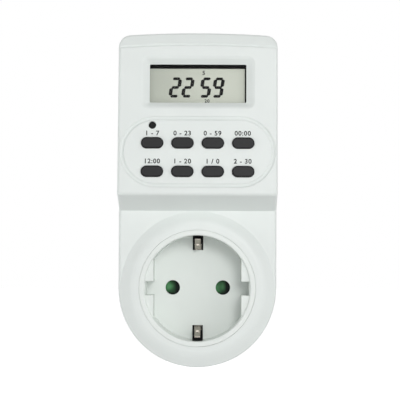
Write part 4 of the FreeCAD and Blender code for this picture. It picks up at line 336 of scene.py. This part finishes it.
link_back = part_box("board_link")[1].y
dress(banded("link_pins", screen(190, 190, 186), screen(28, 28, 30), "Y",
             (link_back - 2.5 * MM, link_back + 1 * MM)), "board_link")
dress(moulded("connector_rubber", screen(196, 120, 150), rough=0.6, grain=0.18), "display_connector")
dress(moulded("lead_brown", screen(104, 62, 40), rough=0.45, grain=0.5), "live_lead")
dress(moulded("lead_blue", screen(44, 88, 158), rough=0.45, grain=0.5), "neutral_lead")
dress(moulded("lead_black", screen(36, 36, 38), rough=0.45, grain=0.5), "switched_lead")


# Pieces that model.glb doesn't carry
def settled(source, name, place):
    """The evaluated object as a plain mesh with its place in its points."""
    graph = bpy.context.evaluated_depsgraph_get()
    mesh = bpy.data.meshes.new_from_object(source.evaluated_get(graph))
    bpy.data.objects.remove(source)
    mesh.name = name
    mesh.transform(place)
    piece = bpy.data.objects.new(name, mesh)
    bpy.context.scene.collection.objects.link(piece)
    return piece


def points_object(name, spots, attributes):
    """Loose points with a few numbers each, for a node tree to build on."""
    mesh = bpy.data.meshes.new(name)
    mesh.from_pydata(spots, [], [])
    for label, values in attributes.items():
        layer = mesh.attributes.new(label, "FLOAT", "POINT")
        for item, value in zip(layer.data, values):
            item.value = value
    thing = bpy.data.objects.new(name, mesh)
    bpy.context.scene.collection.objects.link(thing)
    return thing


class Tree:
    """A geometry node tree with named inputs."""

    def __init__(self, name, **sizes):
        self.tree = bpy.data.node_groups.new(name, "GeometryNodeTree")
        face = self.tree.interface
        face.new_socket(name="Geometry", in_out="INPUT", socket_type="NodeSocketGeometry")
        face.new_socket(name="Geometry", in_out="OUTPUT", socket_type="NodeSocketGeometry")
        self.sizes = {}
        for label, number in sizes.items():
            socket = face.new_socket(name=label, in_out="INPUT", socket_type="NodeSocketFloat")
            self.sizes[socket.identifier] = number
        socket = face.new_socket(name="Finish", in_out="INPUT", socket_type="NodeSocketMaterial")
        self.finish_socket = socket.identifier
        self.start = self.tree.nodes.new("NodeGroupInput")
        self.end = self.tree.nodes.new("NodeGroupOutput")

    def node(self, kind, values=None, **settings):
        node = self.tree.nodes.new(kind)
        for label, setting in settings.items():
            setattr(node, label, setting)
        for socket, value in (values or {}).items():
            if isinstance(value, bpy.types.NodeSocket):
                self.tree.links.new(value, node.inputs[socket])
            else:
                node.inputs[socket].default_value = value
        return node

    def size(self, label):
        return self.start.outputs[label]

    def math(self, operation, first, second=0.0):
        return self.node("ShaderNodeMath", {0: first, 1: second}, operation=operation).outputs[0]

    def field(self, label):
        return self.node("GeometryNodeInputNamedAttribute", {"Name": label}).outputs["Attribute"]

    def close(self, geometry):
        """Ends the tree in real, coloured geometry."""
        real = self.node("GeometryNodeRealizeInstances", {"Geometry": geometry}).outputs["Geometry"]
        coloured = self.node("GeometryNodeSetMaterial", {
            "Geometry": real, "Material": self.start.outputs["Finish"],
        })
        self.tree.links.new(coloured.outputs["Geometry"], self.end.inputs["Geometry"])

    def grow(self, thing, name, finish, place):
        """Runs the tree on an object and gives the finished piece."""
        modifier = thing.modifiers.new(name, "NODES")
        modifier.node_group = self.tree
        for identifier, number in self.sizes.items():
            modifier[identifier] = number
        modifier[self.finish_socket] = finish.material
        return settled(thing, name, place)


def segment_tree():
    """Six-cornered bars on points, each turned by its own angle, then all leaning over."""
    tree = Tree("display_segments", Length=2.85 * MM, Width=1.3 * MM, Height=0.02 * MM,
                Slant=math.tan(math.radians(8)))
    radius = tree.math("DIVIDE", tree.size("Width"), 2 * math.sin(math.radians(60)))
    hexagon = tree.node("GeometryNodeMeshCircle", {"Vertices": 6, "Radius": radius}, fill_type="NGON")
    spot = tree.node("GeometryNodeInputPosition").outputs["Position"]
    parts = tree.node("ShaderNodeSeparateXYZ", {"Vector": spot})
    reach = tree.math("SUBTRACT", tree.math("MULTIPLY", tree.size("Length"), 0.5), radius)
    move = tree.math("MULTIPLY", tree.math("SIGN", parts.outputs["X"]), reach)
    shift = tree.node("ShaderNodeCombineXYZ", {"X": move})
    bar = tree.node("GeometryNodeSetPosition", {
        "Geometry": hexagon.outputs["Mesh"], "Offset": shift.outputs["Vector"],
    })
    raised = tree.node("GeometryNodeExtrudeMesh", {
        "Mesh": bar.outputs["Geometry"], "Offset Scale": tree.size("Height"),
    })
    # The extrusion leaves its underside open
    under = tree.node("GeometryNodeFlipFaces", {"Mesh": bar.outputs["Geometry"]})
    both = tree.node("GeometryNodeJoinGeometry")
    tree.tree.links.new(raised.outputs["Mesh"], both.inputs["Geometry"])
    tree.tree.links.new(under.outputs["Mesh"], both.inputs["Geometry"])
    merged = tree.node("GeometryNodeMergeByDistance", {
        "Geometry": both.outputs["Geometry"], "Distance": 0.001 * MM,
    })
    turn = tree.node("ShaderNodeCombineXYZ", {"Z": tree.field("turn")})
    thin = tree.node("ShaderNodeCombineXYZ", {
        "X": tree.field("length"), "Y": tree.field("thickness"), "Z": 1.0,
    })
    copies = tree.node("GeometryNodeInstanceOnPoints", {
        "Points": tree.start.outputs["Geometry"], "Instance": merged.outputs["Geometry"],
        "Rotation": turn.outputs["Vector"], "Scale": thin.outputs["Vector"],
    })
    real = tree.node("GeometryNodeRealizeInstances", {"Geometry": copies.outputs["Instances"]})
    lean = tree.math("MULTIPLY", parts.outputs["Y"], tree.size("Slant"))
    sideways = tree.node("ShaderNodeCombineXYZ", {"X": lean})
    leaning = tree.node("GeometryNodeSetPosition", {
        "Geometry": real.outputs["Geometry"], "Offset": sideways.outputs["Vector"],
    })
    tree.close(leaning.outputs["Geometry"])
    return tree


# A numeral's share of the type size, and what is drawn with it as 1: the print's thickness and added weight
NUMERAL_SHARE = 0.7
PRINT_THICKNESS = 0.01
PRINT_WEIGHT = 0.035
PRINT_SPACING = 1.15


def print_on_face(name, words, height, place, finish):
    """Thin printed numbers centred at a place of the control face, in millimetres."""
    curve = bpy.data.curves.new(name, "FONT")
    curve.body = words
    curve.size = 1 / NUMERAL_SHARE
    curve.align_x = "CENTER"
    curve.extrude = PRINT_THICKNESS / 2
    curve.offset = PRINT_WEIGHT
    curve.space_character = PRINT_SPACING
    source = bpy.data.objects.new(name, curve)
    bpy.context.scene.collection.objects.link(source)
    x, y, z = place
    corner = Matrix.Translation(Vector((x, y - height / 2, z)) * MM)
    piece = settled(source, name, FACE @ corner @ Matrix.Scale(height * MM, 4))
    piece.data.materials.clear()
    piece.data.materials.append(finish.material)
    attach(piece, "housing")


# Bars of a digit: along x, along y, and whether they stand upright
BARS = {
    "a": (0, 1, 0), "b": (0.5, 0.5, 1), "c": (0.5, -0.5, 1), "d": (0, -1, 0),
    "e": (-0.5, -0.5, 1), "f": (-0.5, 0.5, 1), "g": (0, 0, 0),
}
DIGIT_BARS = {"2": "abged", "5": "afgcd", "9": "abcdfg"}
# Each digit and how far right of the face's middle it stands, in millimetres
DIGITS = (("2", -8.4), ("2", -3.75), ("5", 2.8), ("9", 7.4))
DIGIT_WIDTH = 2.8 * MM
DIGIT_HALF = 3.25 * MM
# Height of the digits' middle on the face, in millimetres
DIGITS_UP = 40.1
# Length and thickness of a level bar beside an upright one
LEVEL_BAR = (0.96, 0.8)


def display_digits():
    """The time on the display, as seven-bar numbers just above the glass."""
    spots, turns, lengths, widths = [], [], [], []
    for digit, centre in DIGITS:
        for bar in DIGIT_BARS[digit]:
            x, y, upright = BARS[bar]
            spots.append((centre * MM + x * DIGIT_WIDTH, y * DIGIT_HALF, 0))
            turns.append(math.radians(90) * upright)
            long, wide = (1.0, 1.0) if upright else LEVEL_BAR
            lengths.append(long)
            widths.append(wide)
    thing = points_object("digit_bars", spots, {"turn": turns, "length": lengths, "thickness": widths})
    ink = moulded("display_ink", screen(8, 9, 7), rough=0.5, gloss=0.15)
    place = FACE @ Matrix.Translation(Vector((0, DIGITS_UP, GLASS)) * MM)
    piece = segment_tree().grow(thing, "display_digits", ink, place)
    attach(piece, "housing")
    print_on_face("display_day", "5", 1.5, (2.05, 45.6, GLASS), ink)
    print_on_face("display_program", "20", 1.2, (3.3, 35.1, GLASS), ink)


# Each row of prints: its height on the face in millimetres, and its numbers
KEY_PRINTS = (
    (22.55, ("1 - 7", "0 - 23", "0 - 59", "00:00")),
    (12.25, ("12:00", "1 - 20", "1 / 0", "2 - 30")),
)
FIRST_KEY = -16.6
KEY_PITCH = 11.0
KEY_PRINT_HEIGHT = 1.65


def key_prints():
    """Plain numbers over the keys: days, hours, minutes and the like."""
    ink = moulded("print_ink", screen(10, 11, 12), rough=0.6, gloss=0.15)
    for row, (up, words) in enumerate(KEY_PRINTS):
        for column, word in enumerate(words):
            place = (FIRST_KEY + KEY_PITCH * column, up, PRINT_LIFT)
            print_on_face(f"print_{row}_{column}", word, KEY_PRINT_HEIGHT, place, ink)


display_digits()
key_prints()


# Camera, light and floor
CAMERA_PLACE = Vector((7.15, -624.5, 11.1)) * MM
CAMERA_TARGET = Vector((0.85, -44.5, 32.6)) * MM
CAMERA_ROLL = math.radians(0.28)
CAMERA_LENS = 141.3
SENSOR_WIDTH = 36

# What the lamps point at, and each lamp's width, power and place in metres
LIT_SPOT = Vector((0, -35, 32)) * MM
LAMPS = {
    "key_lamp": (0.3, 3.38, (0.2, -1.2, 0.26)),
    "front_lamp": (1.0, 1.3, (0.1, -1.2, 0.1)),
    "left_lamp": (0.5, 2.0, (-1.1, -0.3, 0)),
    "right_lamp": (0.8, 2.35, (0.8, -0.9, 0.15)),
    "back_lamp": (0.8, 4.0, (-0.4, 1.2, 0.35)),
}
SKY_LEVEL = 0.36
FLOOR_HEIGHT = -120 * MM
FLOOR_HALF = 6.0
FLOOR_GLOW = 0.7


def make_camera():
    camera = bpy.data.objects.new("camera", bpy.data.cameras.new("camera"))
    bpy.context.scene.collection.objects.link(camera)
    camera.data.sensor_width = SENSOR_WIDTH
    camera.data.lens = CAMERA_LENS
    turn = (CAMERA_TARGET - CAMERA_PLACE).to_track_quat("-Z", "Y").to_matrix().to_4x4()
    roll = Matrix.Rotation(CAMERA_ROLL, 4, "Z")
    camera.matrix_world = Matrix.Translation(CAMERA_PLACE) @ turn @ roll
    bpy.context.scene.camera = camera


def make_lamp(name, size, power, place):
    data = bpy.data.lights.new(name, "AREA")
    data.shape = "DISK"
    data.size = size
    data.energy = power
    lamp = bpy.data.objects.new(name, data)
    bpy.context.scene.collection.objects.link(lamp)
    lamp.location = place
    lamp.rotation_euler = (LIT_SPOT - Vector(place)).to_track_quat("-Z", "Y").to_euler()


def seen_ray(nodes, links):
    """1 where the camera, a reflection or clear plastic looks, and 0 for the light itself."""
    path = nodes.new("ShaderNodeLightPath")
    total = path.outputs["Is Camera Ray"]
    for output in ("Is Glossy Ray", "Is Transmission Ray"):
        most = nodes.new("ShaderNodeMath")
        most.operation = "MAXIMUM"
        links.new(total, most.inputs[0])
        links.new(path.outputs[output], most.inputs[1])
        total = most.outputs["Value"]
    return total


def make_sky():
    """White to look at, and a plain level for the light that it gives."""
    world = bpy.data.worlds.new("studio")
    bpy.context.scene.world = world
    world.use_nodes = True
    nodes, links = world.node_tree.nodes, world.node_tree.links
    light = nodes["Background"]
    light.inputs["Color"].default_value = (0.985, 0.995, 1.0, 1)
    light.inputs["Strength"].default_value = SKY_LEVEL
    seen = nodes.new("ShaderNodeBackground")
    seen.inputs["Color"].default_value = (1, 1, 1, 1)
    seen.inputs["Strength"].default_value = 1.0
    mix = nodes.new("ShaderNodeMixShader")
    links.new(seen_ray(nodes, links), mix.inputs["Fac"])
    links.new(light.outputs["Background"], mix.inputs[1])
    links.new(seen.outputs["Background"], mix.inputs[2])
    links.new(mix.outputs["Shader"], nodes["World Output"].inputs["Surface"])


def make_floor():
    """A pale floor that glows a little to look at, so that it meets the white sky."""
    mesh = bpy.data.meshes.new("floor")
    ways = ((-1, -1), (1, -1), (1, 1), (-1, 1))
    corners = [(x * FLOOR_HALF, y * FLOOR_HALF, FLOOR_HEIGHT) for x, y in ways]
    mesh.from_pydata(corners, [], [(0, 1, 2, 3)])
    floor = bpy.data.objects.new("floor", mesh)
    bpy.context.scene.collection.objects.link(floor)
    finish = Finish("floor_pale")
    grain = finish.noise(40, detail=2)
    finish.colour(finish.blend(finish.spread(grain, 0, 1), (0.93, 0.93, 0.93, 1), (0.95, 0.95, 0.95, 1)))
    finish.set(Roughness=0.9, Specular_IOR_Level=0.1, Emission_Color=(1, 1, 1, 1))
    glow = finish.math("MULTIPLY", seen_ray(finish.nodes, finish.links), FLOOR_GLOW)
    finish.join(glow, finish.shader.inputs["Emission Strength"])
    mesh.materials.append(finish.material)


make_camera()
make_sky()
for lamp_name, (size, power, place) in LAMPS.items():
    make_lamp(lamp_name, size, power, place)
make_floor()
bpy.context.scene.view_settings.view_transform = "Standard"
